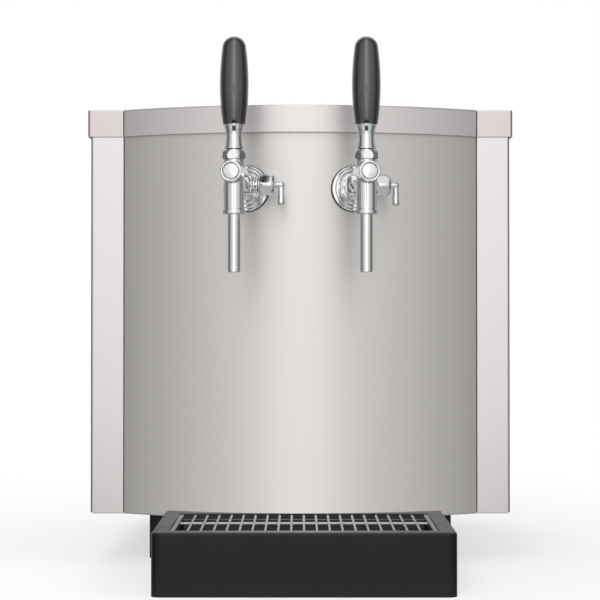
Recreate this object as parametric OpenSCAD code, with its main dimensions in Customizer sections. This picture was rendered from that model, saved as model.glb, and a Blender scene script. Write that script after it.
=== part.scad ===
// Draft beer dispenser for two beers: a cold bath cabinet with two taps and a drip tray.
// Millimetres, +Z up, the taps face -Y, the counter is z = 0.

/* [Cabinet] */
// Width over the side covers
body_w = 456; // [440:1:520]
// Depth from the column fronts to the rear panel
body_d = 420; // [415:1:480]
// Height of the cabinet below the lid
body_h = 408; // [400:1:460]
// Thickness of the stainless sheet
sheet_t = 1.2; // [0.8:0.1:1.5]
// Width of each flat corner column
column_w = 36.5; // [30:0.5:42]
// How far the front panel bows out
bow = 46; // [35:1:55]
// Outer radius of the folded edges
bend_r = 3; // [2:0.5:5]
// Depth of the folded returns behind the front
return_d = 14; // [10:1:18]
// Seam between neighbouring sheets
seam_gap = 0.4; // [0.2:0.1:0.8]

/* [Lid] */
// Height of the lid with its skirt
lid_h = 29; // [26:1:36]
// How far the lid stands out past the cabinet
lid_over = 3; // [2.6:0.1:5]
// How far the skirt overlaps the cabinet walls
lid_lap = 7; // [5:0.5:10]

/* [Foot] */
// Height of the plinth
plinth_h = 49.5; // [40:0.5:60]
// Width of the plinth
plinth_w = 330; // [300:1:360]
// Wall of the plinth
plinth_t = 3; // [2:0.5:5]
// Height of the rubber feet
foot_h = 6; // [4:0.5:10]
// Radius of the rubber feet
foot_r = 18; // [14:1:20]
// Thickness of the base pan
base_t = 1.5; // [1:0.1:2]

/* [Drip tray] */
// Width of the drip tray
tray_w = 295; // [280:1:305]
// How far the tray reaches in front of the columns
tray_reach = 205; // [190:1:230]
// Height of the drip tray
tray_h = 62; // [60:1:64]
// Rear corners of the tray in front of the columns
tray_rear = 20; // [16:1:24]
// Rounding of the tray's upright corners
tray_r = 9; // [6:0.5:12]
// Width of the side and front rims
tray_rim = 16.5; // [14:0.5:20]
// Floor of the tray
tray_floor = 5; // [3:0.5:8]
// Width of the ledge under the grille
ledge_w = 4; // [3:0.5:6]
// Depth of the recess that holds the grille
recess_h = 6; // [5:0.5:8]
// Gap between tray and bowed panel
tray_gap = 2.2; // [2:0.1:3]
// How far the loose tray stands to the right of the middle
tray_shift = 3.7; // [0:0.1:4]
// Number of wire rods in the grille
rod_count = 19; // [15:1:23]
// Diameter of a wire rod
rod_d = 2.4; // [2:0.1:3]
// Width of the grille's flat end bars
bar_w = 4; // [3:0.5:5]
// Gap round the grille
grille_gap = 0.5; // [0.3:0.1:1]

/* [Taps] */
// Distance of each tap from the middle
tap_x = 57; // [50:1:75]
// Depth of the shank axis below the lid
shank_down = 60; // [56:1:65]
// Reach of the spout axis from the panel
tap_reach = 75; // [70:1:85]
// Height of the valve axis above the shank
valve_up = 10.5; // [9:0.5:11]
// Radius of the upright tap head
head_r = 10.4; // [10.3:0.1:11]
// How far the spout holder hangs below the shank axis
holder_drop = 32; // [28:1:36]
// Radius of the spout tube
spout_r = 6.6; // [6:0.1:7]
// Wall of the spout tube
spout_t = 1; // [0.8:0.1:1.5]
// How far the spout ends below the shank axis
spout_drop = 90.5; // [80:0.5:110]
// Radius of the mounting flange
flange_r = 24; // [21:0.5:25]
// Thickness of the rubber gasket
gasket_t = 2; // [1.5:0.5:3]
// Radius of the shank
shank_r = 9; // [8.5:0.5:10]
// Bore of the shank
shank_bore_r = 4.2; // [4.2:0.1:4.6]

/* [Handles] */
// Length of a handle
handle_h = 90; // [80:1:110]
// Largest radius of a handle
handle_r = 14.7; // [13:0.1:16]
// Height of the tilting ball above the shank axis
ball_up = 27.2; // [26.5:0.1:28]
// Radius of the tilting ball
ball_r = 7.8; // [7.5:0.1:8]
// Radius of the round bonnet nut
bonnet_r = 12; // [11.8:0.1:12.5]
// Height of the waisted ferrule above its seam
ferrule_h = 24.6; // [22:0.1:30]
// Furthest forward tilt of a handle in degrees
tilt_open = 28; // [20:1:28]

/* [Compensators] */
// Distance of the compensator axis from the panel
comp_out = 23; // [22.5:0.5:26]
// Height of the compensator axis above the shank axis
comp_up = 2; // [0:0.5:4]
// Where the bonnet starts, to the side of the tap
comp_x = 17; // [16:0.5:20]
// Length of the bonnet
comp_len = 17.5; // [14:0.5:19]
// Radius of the bonnet
comp_r = 11.7; // [11:0.1:12.5]
// Radius of the lever's spindle
spindle_r = 3.4; // [3:0.1:3.8]
// How far the lever hangs below its axis
comp_drop = 18.5; // [16:0.5:20]

/* [Cold bath] */
// Insulated wall of the bath
tank_t = 26; // [22:1:28]
// Gap between the bath and each side cover
tank_gap = 14.8; // [12:0.1:17]
// Space behind the bath for pipes
pipe_gap = 47; // [44:1:55]
// Height of the machine space under the bath
machine_h = 133; // [130:1:140]
// Radius of the refrigerant and beer tubes
tube_r = 4; // [3.5:0.1:4]
// Distance of each beer coil's inner side from the middle
coil_inner_x = 28; // [26:1:32]
// Gap between a beer coil and the evaporator coil
coil_gap = 16; // [12:1:20]
// Turns of each beer coil
coil_turns = 9; // [5:1:9]
// Depth of the beer coils' top below the shank axis
coil_down = 34; // [30:1:40]
// Gap between the evaporator coil and the bath's inner wall
evap_gap = 14; // [12:1:16]
// Turns of the evaporator coil
evap_turns = 5; // [3:1:5]
// Depth of the evaporator coil's top below the shank axis
evap_down = 35; // [30:1:40]

/* [Machine] */
// Radius of the compressor
compressor_r = 55; // [48:1:56]
// Height of the compressor
compressor_h = 100; // [90:1:102]
// Gap between the condenser and the side cover
condenser_gap = 18; // [14:1:30]
// Height of the condenser
condenser_h = 116; // [105:1:118]
// Thickness of the condenser
condenser_t = 30; // [24:1:34]
// Number of condenser fins
fin_count = 24; // [16:1:30]
// Radius of the fan
fan_r = 46; // [40:1:48]
// Number of fan blades
blade_count = 5; // [3:1:7]
// Radius of the agitator impeller
impeller_r = 15; // [12:0.5:16]
// Radius of the thermostat knob
knob_r = 16; // [12:0.5:18]

/* [Fits] */
// Radial running fit of balls, shafts and spindles
run_fit = 0.08; // [0.05:0.01:0.1]
// Radial gap of a fixed piece in its hole
fixed_fit = 0.2; // [0.1:0.05:0.4]
// Gap between curved faces that move past each other
move_gap = 0.35; // [0.3:0.05:0.6]

/* [Hidden] */
$fn = 64;

// A small overrun that makes cuts clean
eps = 0.5;

// Rear product inlets
inlet_reach = 25;
inlet_r = 7;
stem_out_r = 4.75;
inlet_nut_t = 8;
inlet_below_lid = 18;

// Heights of the cabinet
body_z0 = foot_h + plinth_h + base_t;
lid_z0 = body_z0 + body_h;
lid_z1 = lid_z0 + lid_h;
wall_z1 = lid_z0 + lid_lap;
bath_z1 = wall_z1 + 2;
shank_z = lid_z0 - shank_down;

// Depths: the whole part is centred on y = 0
corner_y = (tray_reach - body_d - inlet_reach) / 2;
rear_y = corner_y + body_d;
cover_rear_y = rear_y - sheet_t;

// Bowed front
panel_half = body_w / 2 - column_w;
bow_r = (panel_half * panel_half + bow * bow) / (2 * bow);
bow_cy = corner_y - bow + bow_r;
function bow_y(x) = bow_cy - sqrt(bow_r * bow_r - x * x);

// Taps stand square on the bow
tap_yaw = asin(tap_x / bow_r);
tap_y = bow_y(tap_x);
flange_steps = [[flange_r, 2.5], [flange_r - 3.5, 2.5], [flange_r - 7.5, 3]];
flange_t = flange_steps[0][1] + flange_steps[1][1] + flange_steps[2][1];
coupling_f = gasket_t + flange_t;
plug_f = tap_reach + 20;
plug_h = 6;
boss_r = head_r + 0.3;
plug_r = boss_r - 2.5;
coupling_t = 6;
housing_r = comp_out - coupling_f - 1.5;
nut_t = 8;
nut_r = shank_r + 8;
chamber_r = 6.5;
piston_half = 9;
tang_arm = ball_up - valve_up;
tang_r = 2.3;
seam_lip = 0.5;
seam_up = sqrt(pow(bonnet_r + move_gap, 2) - pow(head_r - seam_lip, 2));
handle_up = ball_up + seam_up + ferrule_h;

// Bath
bath_x = body_w / 2 - sheet_t - tank_gap;
bath_y0 = corner_y + return_d + 3;
bath_y1 = cover_rear_y - sheet_t - pipe_gap;
bath_z0 = body_z0 + machine_h;
cavity_x = bath_x - tank_t;
cavity_y0 = bath_y0 + tank_t;
cavity_y1 = bath_y1 - tank_t;
cavity_z0 = bath_z0 + tank_t;
bath_cy = (cavity_y0 + cavity_y1) / 2;
shank_in = (cavity_y0 + 8 - tap_y) / cos(tap_yaw);
inlet_z = lid_z0 - inlet_below_lid;
inlet_x = coil_inner_x;
evap_x = cavity_x - evap_gap;
evap_y0 = cavity_y0 + evap_gap;
evap_y1 = cavity_y1 - evap_gap;
evap_z0 = cavity_z0 + 24;
evap_z1 = shank_z - evap_down;
evap_pitch = (evap_z1 - evap_z0) / evap_turns;
coil_outer_x = evap_x - 2 * tube_r - coil_gap;
coil_r = (coil_outer_x - coil_inner_x) / 2;
coil_x = (coil_outer_x + coil_inner_x) / 2;
coil_z0 = cavity_z0 + 20;
coil_z1 = shank_z - coil_down;
coil_pitch = (coil_z1 - coil_z0) / coil_turns;

// Machine space
compressor_x = -(body_w / 2 - sheet_t) / 2;
compressor_y = bath_cy + 37;
grommet_h = 8;
plate_t = 3;
compressor_z0 = body_z0 + grommet_h + plate_t;
stub_r = tube_r + 1.5;
stub_h = 6;
stub_z1 = compressor_z0 + compressor_h + stub_h;
suction_z = bath_z0 - 10;
pipe_y = bath_y1 + pipe_gap / 2;
condenser_y0 = pipe_y - condenser_t / 2;
condenser_y1 = pipe_y + condenser_t / 2;
condenser_w = body_w / 2 - condenser_gap;
liquid_x = condenser_w / 2;
discharge_x = (compressor_x + compressor_r) / 2;
fan_z = body_z0 + condenser_h / 2;
fan_x = condenser_w / 2;
shroud_t = 3;
shroud_gap = 2;
shroud_foot_h = 6;
ring_h = 16;
ring_t = 3;
tip_gap = 3;
shroud_y1 = condenser_y0 - shroud_gap;
fan_y = shroud_y1 - ring_h - shroud_gap;
fan_shaft_r = 3;
motor_r = 20;
motor_len = 34;
control_gap = 78;
control_x = -(body_w / 2 - control_gap);
thermostat_up = 98;
switch_up = 55;
power_up = 22;
thermostat_z = body_z0 + thermostat_up;
switch_z = body_z0 + switch_up;
power_z = body_z0 + power_up;

// Rows of tube through the condenser
row_count = 5;
row_z0 = body_z0 + 13;
row_step = (condenser_h - 36) / (row_count - 1);
row_z1 = row_z0 + (row_count - 1) * row_step;
discharge_z = row_z1 - row_step;

// Agitator
bar_z = shank_z + 25;
bar_half = 16;
bar_t = 3;
shaft_r = 4;
can_r = 26;
can_h = 22;
bearing_h = 15;
hub_h = 12;

// Tube sweeping: turning frames carried along a list of points
function unit(v) = v / norm(v);
function tangents(p) = [
  for (i = [0 : len(p) - 1]) unit(p[min(i + 1, len(p) - 1)] - p[max(i - 1, 0)])
];
function flatten_to(n, t) = unit(n - (n * t) * t);
function normals(t) = [
  for (i = 0, n = flatten_to([0.31, 0.53, 0.79], t[0]);
       i < len(t);
       i = i + 1, n = i < len(t) ? flatten_to(n, t[i]) : n) n
];
function ring_points(p, r, sides) = let (t = tangents(p), n = normals(t)) [
  for (i = [0 : len(p) - 1])
    for (k = [0 : sides - 1])
      let (a = 360 * k / sides) p[i] + r * (cos(a) * n[i] + sin(a) * cross(t[i], n[i]))
];
module tube(p, r, sides) {
  last = len(p) - 1;
  walls = [
    for (i = [0 : last - 1])
      for (k = [0 : sides - 1])
        let (a = i * sides + k, b = i * sides + (k + 1) % sides)
          each [[a, a + sides, b], [b, a + sides, b + sides]]
  ];
  caps = [
    for (k = [1 : sides - 2])
      each [[0, k, k + 1], [last * sides, last * sides + k + 1, last * sides + k]]
  ];
  polyhedron(ring_points(p, r, sides), concat(walls, caps), convexity = 10);
}
// Replaces each inner corner of a route by a round bend
function bend_points(a, b, c, r, steps) =
  let (u = unit(a - b), v = unit(c - b), half = acos(max(-1, min(1, u * v))) / 2)
  half > 89 ? [b] :
  let (
    reach = r / tan(half),
    turn = 180 - 2 * half,
    centre = b + unit(u + v) * r / sin(half),
    first = b + u * reach - centre
  ) [
    for (i = [0 : steps])
      centre + cos(turn * i / steps) * first - sin(turn * i / steps) * r * u
  ];
function route(p, r, steps) = concat(
  [p[0]],
  [for (i = [1 : len(p) - 2]) each bend_points(p[i - 1], p[i], p[i + 1], r, steps)],
  [p[len(p) - 1]]
);

// Shared outlines
module round_box(x0, x1, y0, y1, r) {
  translate([x0 + r, y0]) square([x1 - x0 - 2 * r, y1 - y0]);
  translate([x0, y0 + r]) square([x1 - x0, y1 - y0 - 2 * r]);
  for (x = [x0 + r, x1 - r])
    for (y = [y0 + r, y1 - r])
      translate([x, y]) circle(r);
}
// A slot with round ends, its lower left corner at the origin
module slot(w, h) {
  translate([h / 2, 0]) square([w - h, h]);
  for (x = [h / 2, w - h / 2])
    translate([x, h / 2]) circle(h / 2);
}
module cabinet_plan(grow) {
  translate([-body_w / 2 - grow, corner_y - grow])
    square([body_w + 2 * grow, body_d + 2 * grow]);
  intersection() {
    translate([0, bow_cy]) circle(bow_r + grow, $fn = 256);
    translate([-panel_half, corner_y - 2 * bow]) square([2 * panel_half, 2 * bow + 10]);
  }
}
module bow_strip(grow, t) {
  intersection() {
    difference() {
      translate([0, bow_cy]) circle(bow_r + grow, $fn = 256);
      translate([0, bow_cy]) circle(bow_r + grow - t, $fn = 256);
    }
    translate([-panel_half, corner_y - 2 * bow]) square([2 * panel_half, 2 * bow + 10]);
  }
}
// Folded sheet round one corner column, seen from above; inner_from is where the open side starts
module column_sheet(x1, y0, y1, inner_from) {
  x0 = panel_half + seam_gap;
  difference() {
    round_box(x0, x1, y0, y1, bend_r);
    round_box(x0 + sheet_t, x1 - sheet_t, y0 + sheet_t, y1 - sheet_t, bend_r - sheet_t);
    translate([x0 - eps, inner_from])
      square([sheet_t + bend_r + eps, y1 - sheet_t - inner_from]);
  }
}
module for_side(side) {
  if (side < 0) mirror([1, 0, 0]) children();
  else children();
}
// Local frame of a tap: origin on the panel, -Y out of the panel, +X to the user's right
module at_tap(side) {
  translate([side * tap_x, tap_y, shank_z]) rotate([0, 0, side * tap_yaw]) children();
}
module outward(f0, f1, r) {
  translate([0, -f0, 0]) rotate([90, 0, 0]) cylinder(h = f1 - f0, r = r);
}
module sideways(x0, x1, r) {
  translate([x0, 0, 0]) rotate([0, 90, 0]) cylinder(h = x1 - x0, r = r);
}
module rearward(y0, y1, r) {
  translate([0, y0, 0]) rotate([-90, 0, 0]) cylinder(h = y1 - y0, r = r);
}

// Foot and cabinet
plinth_y0 = corner_y + 8;
plinth_y1 = rear_y - 20;
foot_in = foot_r + plinth_t + 4;
function foot_places() = [
  for (x = [-1, 1])
    for (y = [plinth_y0 + foot_in, plinth_y1 - foot_in])
      [x * (plinth_w / 2 - foot_in), y]
];
foot_pin_r = 5;
module plinth() {
  color("#161616")
    difference() {
      translate([0, 0, foot_h]) linear_extrude(plinth_h)
        round_box(-plinth_w / 2, plinth_w / 2, plinth_y0, plinth_y1, 8);
      translate([0, 0, foot_h + plinth_t]) linear_extrude(plinth_h)
        round_box(-plinth_w / 2 + plinth_t, plinth_w / 2 - plinth_t,
                  plinth_y0 + plinth_t, plinth_y1 - plinth_t, 8 - plinth_t);
      translate([0, 0, foot_h - eps]) linear_extrude(plinth_t + 2 * eps)
        round_box(-plinth_w / 2 + 2 * foot_in, plinth_w / 2 - 2 * foot_in,
                  plinth_y0 + 2 * foot_in, plinth_y1 - 2 * foot_in, 20);
      for (p = foot_places())
        translate([p[0], p[1], foot_h - eps])
          cylinder(h = plinth_t + 2 * eps, r = foot_pin_r + fixed_fit);
    }
}
module rubber_feet() {
  color("#202020")
    for (p = foot_places())
      translate([p[0], p[1], 0]) {
        cylinder(h = foot_h, r = foot_r);
        cylinder(h = foot_h + plinth_t, r = foot_pin_r);
      }
}
module base_pan() {
  color("#8d8f90")
    translate([0, 0, body_z0 - base_t]) linear_extrude(base_t) cabinet_plan(-2);
}
module front_panel() {
  color("#b5b3b0")
    difference() {
      translate([0, 0, body_z0]) linear_extrude(wall_z1 - body_z0) {
        bow_strip(0, sheet_t);
        for (s = [-1, 1])
          translate([s * (panel_half - sheet_t / 2) - sheet_t / 2, corner_y])
            square([sheet_t, return_d]);
      }
      for (s = [-1, 1])
        at_tap(s) outward(-10, 10, shank_r + fixed_fit);
    }
}
screw_x = body_w / 2 - 14;
screw_rows = [body_z0 + 24, body_z0 + body_h * 0.35, body_z0 + body_h * 0.65, lid_z0 - 24];
screw_r = 2;
screw_head_r = 4;
screw_head_h = 2.2;
module screw_holes() {
  for (s = [-1, 1])
    for (z = screw_rows)
      translate([s * screw_x, 0, z])
        rearward(cover_rear_y - 10, rear_y + eps, screw_r + fixed_fit);
}
module side_cover(side) {
  difference() {
    for_side(side)
      translate([0, 0, body_z0]) linear_extrude(wall_z1 - body_z0)
        column_sheet(body_w / 2, corner_y, cover_rear_y, corner_y + return_d);
    screw_holes();
  }
}
module left_side_cover() { color("#cbc6c4") side_cover(-1); }
module right_side_cover() { color("#cbc6c4") side_cover(1); }
vent_rows = 10;
vent_edge = 10;
vent_gap = 22;
vent_w = (condenser_w - 2 * vent_edge - vent_gap) / 2;
vent_h = 6;
module rear_panel() {
  color("#a9a9a8")
    difference() {
      translate([-body_w / 2 + bend_r, cover_rear_y, body_z0])
        cube([body_w - 2 * bend_r, sheet_t, wall_z1 - body_z0]);
      screw_holes();
      for (i = [0 : vent_rows - 1])
        for (x = [vent_edge, condenser_w - vent_edge - vent_w])
          translate([x, rear_y + eps, body_z0 + 12 + i * (condenser_h - 20) / vent_rows])
            rotate([90, 0, 0]) linear_extrude(sheet_t + 2 * eps) slot(vent_w, vent_h);
      for (s = [-1, 1])
        translate([s * inlet_x, 0, inlet_z])
          rearward(cover_rear_y - eps, rear_y + eps, inlet_r + fixed_fit);
      translate([control_x, 0, thermostat_z])
        rearward(cover_rear_y - eps, rear_y + eps, thermostat_neck_r + fixed_fit);
      for (p = [[switch_z, switch_w, switch_hh], [power_z, power_w, power_hh]])
        translate([control_x - p[1] / 2 - fixed_fit, cover_rear_y - eps, p[0] - p[2] / 2 - fixed_fit])
          cube([p[1] + 2 * fixed_fit, sheet_t + 2 * eps, p[2] + 2 * fixed_fit]);
    }
}
module cover_screws() {
  color("#9a9a9a")
    for (s = [-1, 1])
      for (z = screw_rows)
        translate([s * screw_x, 0, z]) {
          rearward(rear_y - 6, rear_y + eps, screw_r);
          rearward(rear_y, rear_y + screw_head_h, screw_head_r);
        }
}

// Lid
module lid_top() {
  color("#c4bfbd") {
    translate([0, 0, lid_z1 - sheet_t]) linear_extrude(sheet_t) cabinet_plan(lid_over);
    translate([-panel_half, rear_y + lid_over - sheet_t, lid_z0])
      cube([2 * panel_half, sheet_t, lid_h - sheet_t / 2]);
  }
}
module lid_front_band() {
  color("#bdb8b6")
    translate([0, 0, lid_z0]) linear_extrude(lid_h - sheet_t) bow_strip(lid_over, sheet_t);
}
module lid_rail(side) {
  for_side(side)
    translate([0, 0, lid_z0]) linear_extrude(lid_h - sheet_t)
      column_sheet(body_w / 2 + lid_over, corner_y - lid_over, rear_y + lid_over,
                   corner_y - lid_over + sheet_t);
}
module left_lid_rail() { color("#cbc6c4") lid_rail(-1); }
module right_lid_rail() { color("#cbc6c4") lid_rail(1); }
module lid_insulation() {
  color("#e9e7df")
    translate([0, 0, bath_z1]) linear_extrude(lid_z1 - sheet_t - bath_z1) cabinet_plan(-8);
}

// Drip tray
grille_half = tray_w / 2 - tray_rim;
tray_y0 = corner_y - tray_reach;
tray_y1 = corner_y - tray_rear;
grille_y0 = tray_y0 + tray_rim;
grille_y1 = corner_y - bow - tray_gap - ledge_w;
module tray_plan() {
  difference() {
    round_box(-tray_w / 2, tray_w / 2, tray_y0, tray_y1, tray_r);
    translate([0, bow_cy]) circle(bow_r + tray_gap, $fn = 256);
  }
}
module drip_tray() {
  color("#1d1e1f")
    translate([tray_shift, 0, 0]) difference() {
      linear_extrude(tray_h) tray_plan();
      translate([0, 0, tray_floor]) linear_extrude(tray_h)
        round_box(-grille_half + ledge_w, grille_half - ledge_w, grille_y0 + ledge_w,
                  grille_y1 - ledge_w, tray_r - ledge_w);
      translate([-grille_half, grille_y0, tray_h - recess_h])
        cube([2 * grille_half, grille_y1 - grille_y0, recess_h + eps]);
    }
}
module tray_grille() {
  x1 = grille_half - grille_gap;
  y0 = grille_y0 + grille_gap;
  y1 = grille_y1 - grille_gap;
  z0 = tray_h - recess_h;
  rod_z = tray_h - 1 - rod_d / 2;
  pitch = (2 * x1 - 2 * bar_w) / (rod_count + 1);
  color("#a8acae") translate([tray_shift, 0, 0]) {
    for (s = [0, 1])
      translate([s ? x1 - bar_w : -x1, y0, z0]) cube([bar_w, y1 - y0, recess_h - 1]);
    for (i = [1 : rod_count])
      translate([-x1 + bar_w + i * pitch, y0 + rod_d / 2, rod_z])
        rearward(0, y1 - y0 - rod_d, rod_d / 2);
    for (y = [y0 + rod_d / 2, y0 + (y1 - y0) * 0.65])
      translate([0, y, rod_z - rod_d * 0.8]) sideways(-x1 + eps, x1 - eps, rod_d / 2);
  }
}

// Pieces of the taps that the user sees fixed
module gaskets() {
  color("#141414")
    difference() {
      for (s = [-1, 1])
        at_tap(s) outward(-1, gasket_t, flange_r + 0.75);
      translate([0, bow_cy, shank_z - 2 * flange_r])
        cylinder(h = 4 * flange_r, r = bow_r + 0.02, $fn = 256);
      for (s = [-1, 1])
        at_tap(s) outward(-5, 10, shank_r + fixed_fit);
    }
}
module flanges() {
  color("#c9cccf")
    for (s = [-1, 1])
      at_tap(s)
        difference() {
          union() {
            outward(gasket_t, gasket_t + flange_steps[0][1], flange_steps[0][0]);
            outward(gasket_t, gasket_t + flange_steps[0][1] + flange_steps[1][1], flange_steps[1][0]);
            outward(gasket_t, coupling_f, flange_steps[2][0]);
          }
          outward(0, 20, shank_r + fixed_fit);
        }
}
module shank(side) {
  at_tap(side)
    difference() {
      outward(-shank_in, coupling_f + 6, shank_r);
      outward(-shank_in - eps, coupling_f + 7, shank_bore_r);
    }
}
module left_shank() { color("#b9bcbe") shank(-1); }
module right_shank() { color("#b9bcbe") shank(1); }
module shank_nuts() {
  back = sheet_t + 0.5;
  color("#b9bcbe")
    for (s = [-1, 1])
      at_tap(s)
        difference() {
          translate([0, back, 0]) rotate([-90, 0, 0]) cylinder(h = nut_t, r = nut_r, $fn = 6);
          outward(-back - nut_t - eps, 0, shank_r + fixed_fit);
        }
}
// Where the slanting barrel runs: from the compensator housing up to the valve
barrel_short = 16;
// Lip round the lower end of the spout's holder
lip_h = 4.5;
lip_out = 0.9;
barrel_f = tap_reach - barrel_short;
barrel_tilt = atan2(valve_up - comp_up, barrel_f - comp_out);
barrel_len = norm([barrel_f - comp_out, valve_up - comp_up]);
module along_barrel() {
  translate([0, -comp_out, comp_up]) rotate([-barrel_tilt, 0, 0]) children();
}
module tap_body(side) {
  at_tap(side)
    difference() {
      union() {
        outward(coupling_f, coupling_f + coupling_t, shank_r + 4);
        outward(coupling_f, comp_out, shank_r + 2.5);
        translate([0, -comp_out, comp_up]) sideways(-housing_r - 1, comp_x - 5, housing_r);
        translate([0, -comp_out, comp_up]) sideways(0, comp_x, comp_r - 3);
        along_barrel() outward(0, barrel_len, head_r - 0.8);
        translate([0, -tap_reach, -holder_drop])
          cylinder(h = holder_drop + ball_up - 3.4, r = head_r);
        translate([0, -tap_reach, -holder_drop]) cylinder(h = lip_h, r = head_r + lip_out);
        translate([0, 0, valve_up]) outward(barrel_f - 5, plug_f, boss_r);
      }
      outward(0, coupling_f + 6.3, shank_r + fixed_fit);
      outward(0, comp_out, shank_bore_r);
      along_barrel() outward(0, barrel_len + 2, 3);
      translate([0, -comp_out, comp_up]) sideways(0, comp_x + eps, spindle_r + run_fit);
      translate([0, 0, valve_up]) outward(tap_reach - piston_half - 10, plug_f - plug_h + eps, chamber_r);
      translate([0, 0, valve_up]) outward(plug_f - plug_h, plug_f + eps, plug_r + move_gap);
      translate([0, -tap_reach, valve_up]) cylinder(h = ball_up, r = head_r - 2);
      translate([0, -tap_reach, -holder_drop - eps])
        cylinder(h = holder_drop - 8 + eps, r = spout_r + fixed_fit);
      translate([0, -tap_reach, -holder_drop - eps])
        cylinder(h = 4 + eps, r = head_r - 1.6);
      translate([0, -tap_reach, -holder_drop]) cylinder(h = holder_drop + valve_up, r = 3.5);
    }
}
module left_tap_body() { color("#c9cccf") tap_body(-1); }
module right_tap_body() { color("#c9cccf") tap_body(1); }
module front_plugs() {
  color("#d5d8da")
    for (s = [-1, 1])
      at_tap(s) translate([0, 0, valve_up]) {
        outward(plug_f - plug_h, plug_f - plug_h + 2, plug_r + move_gap);
        outward(plug_f - plug_h, plug_f + 0.4, plug_r);
      }
}
module spout(side) {
  at_tap(side)
    translate([0, -tap_reach, -spout_drop])
      difference() {
        cylinder(h = spout_drop - 8, r = spout_r);
        translate([0, 0, -eps]) cylinder(h = spout_drop, r = spout_r - spout_t);
      }
}
module left_spout() { color("#c9cccf") spout(-1); }
module right_spout() { color("#c9cccf") spout(1); }
// The bonnet nut is a ball-shaped cap: the ferrule swings over it
module bonnet_nuts() {
  opening = tilt_open + asin(stem_r / ball_r) + 1;
  cone_h = 2.5 * bonnet_r;
  color("#c4c7ca")
    for (s = [-1, 1])
      at_tap(s) translate([0, -tap_reach, ball_up])
        difference() {
          intersection() {
            sphere(bonnet_r);
            translate([0, 0, -3.4]) cylinder(h = cone_h, r = bonnet_r + 0.2, $fn = 6);
          }
          sphere(ball_r + run_fit);
          translate([0, 0, -bonnet_r]) cylinder(h = bonnet_r, r = ball_r + run_fit);
          cylinder(h = cone_h, r1 = 0, r2 = cone_h * tan(opening));
        }
}
stem_r = 3.4;
module lever_stem(side) {
  at_tap(side) translate([0, -tap_reach, ball_up]) {
    intersection() {
      sphere(ball_r);
      translate([0, 0, -3.2]) cylinder(h = 30, r = 10);
    }
    cylinder(h = seam_up + ferrule_h + 30, r = stem_r);
    translate([0, 0, -tang_arm]) cylinder(h = tang_arm, r = 1.5);
    translate([0, 0, -tang_arm]) sphere(tang_r);
  }
}
module left_lever_stem() { color("#b9bcbe") lever_stem(-1); }
module right_lever_stem() { color("#b9bcbe") lever_stem(1); }
// A turned outline through a lower flare, a waist and an upper lip
module waist_profile(r0, r_waist, r1, h) {
  flank_h = h / 2;
  swing = ((r0 - r_waist) * (r0 - r_waist) + flank_h * flank_h) / (2 * (r0 - r_waist));
  difference() {
    square([max(r0, r1), h]);
    translate([r_waist + swing, flank_h]) circle(swing, $fn = 128);
  }
}
module ferrule(side) {
  at_tap(side) translate([0, -tap_reach, ball_up])
    difference() {
      translate([0, 0, seam_up]) rotate_extrude() waist_profile(head_r, 8.1, head_r + 0.4, ferrule_h);
      sphere(bonnet_r + move_gap);
      cylinder(h = 60, r = stem_r + fixed_fit);
    }
}
module left_ferrule() { color("#c9cccf") ferrule(-1); }
module right_ferrule() { color("#c9cccf") ferrule(1); }
// The handle swells from its foot to its widest ring and draws in to a domed top
handle_foot_r = 11.3;
handle_top_r = 11.9;
handle_belly = 0.45;
module handle_outline() {
  belly_z = handle_h * handle_belly;
  crown_z = handle_h - handle_top_r * 0.8;
  lower_r = (pow(handle_r - handle_foot_r, 2) + pow(belly_z, 2)) / (2 * (handle_r - handle_foot_r));
  upper_h = crown_z - belly_z;
  upper_r = (pow(handle_r - handle_top_r, 2) + pow(upper_h, 2)) / (2 * (handle_r - handle_top_r));
  crown_r = (pow(handle_top_r, 2) + pow(handle_h - crown_z, 2)) / (2 * (handle_h - crown_z));
  intersection() {
    translate([handle_r - lower_r, belly_z]) circle(lower_r, $fn = 256);
    square([handle_r + 1, belly_z]);
  }
  intersection() {
    translate([handle_r - upper_r, belly_z]) circle(upper_r, $fn = 256);
    translate([0, belly_z]) square([handle_r + 1, upper_h]);
  }
  intersection() {
    translate([0, handle_h - crown_r]) circle(crown_r, $fn = 128);
    translate([0, crown_z]) square([handle_r + 1, handle_h - crown_z]);
  }
}
module handle(side) {
  at_tap(side) translate([0, -tap_reach, handle_up])
    difference() {
      rotate_extrude() handle_outline();
      translate([0, 0, -eps]) cylinder(h = 31 + eps, r = stem_r + fixed_fit);
    }
}
module left_handle() { color("#1b1c1f") handle(-1); }
module right_handle() { color("#1b1c1f") handle(1); }
module valve_piston(side) {
  at_tap(side) translate([0, 0, valve_up])
    difference() {
      outward(tap_reach - piston_half, tap_reach + piston_half, chamber_r - run_fit);
      translate([-10, -tap_reach - piston_half + 3, 1]) cube([20, 2 * piston_half - 6, 10]);
      translate([-tang_r - move_gap, -tap_reach - tang_r - 0.6, -tang_r - 1])
        cube([2 * (tang_r + move_gap), 2 * (tang_r + 0.6), 10]);
    }
}
module left_valve_piston() { color("#e4e2da") valve_piston(-1); }
module right_valve_piston() { color("#e4e2da") valve_piston(1); }
module at_compensator(side) {
  at_tap(side) translate([0, -comp_out, comp_up]) children();
}
module compensator_bonnets() {
  color("#c4c7ca")
    for (s = [-1, 1])
      at_compensator(s)
        difference() {
          translate([comp_x, 0, 0]) rotate([0, 90, 0]) rotate_extrude()
            intersection() {
              square([comp_r, comp_len]);
              translate([0, comp_len / 2]) circle(norm([comp_r * 0.86, comp_len / 2]));
            }
          sideways(0, comp_x + comp_len + eps, spindle_r + run_fit);
        }
}
comp_hub_x = comp_x + comp_len + 6;
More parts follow.
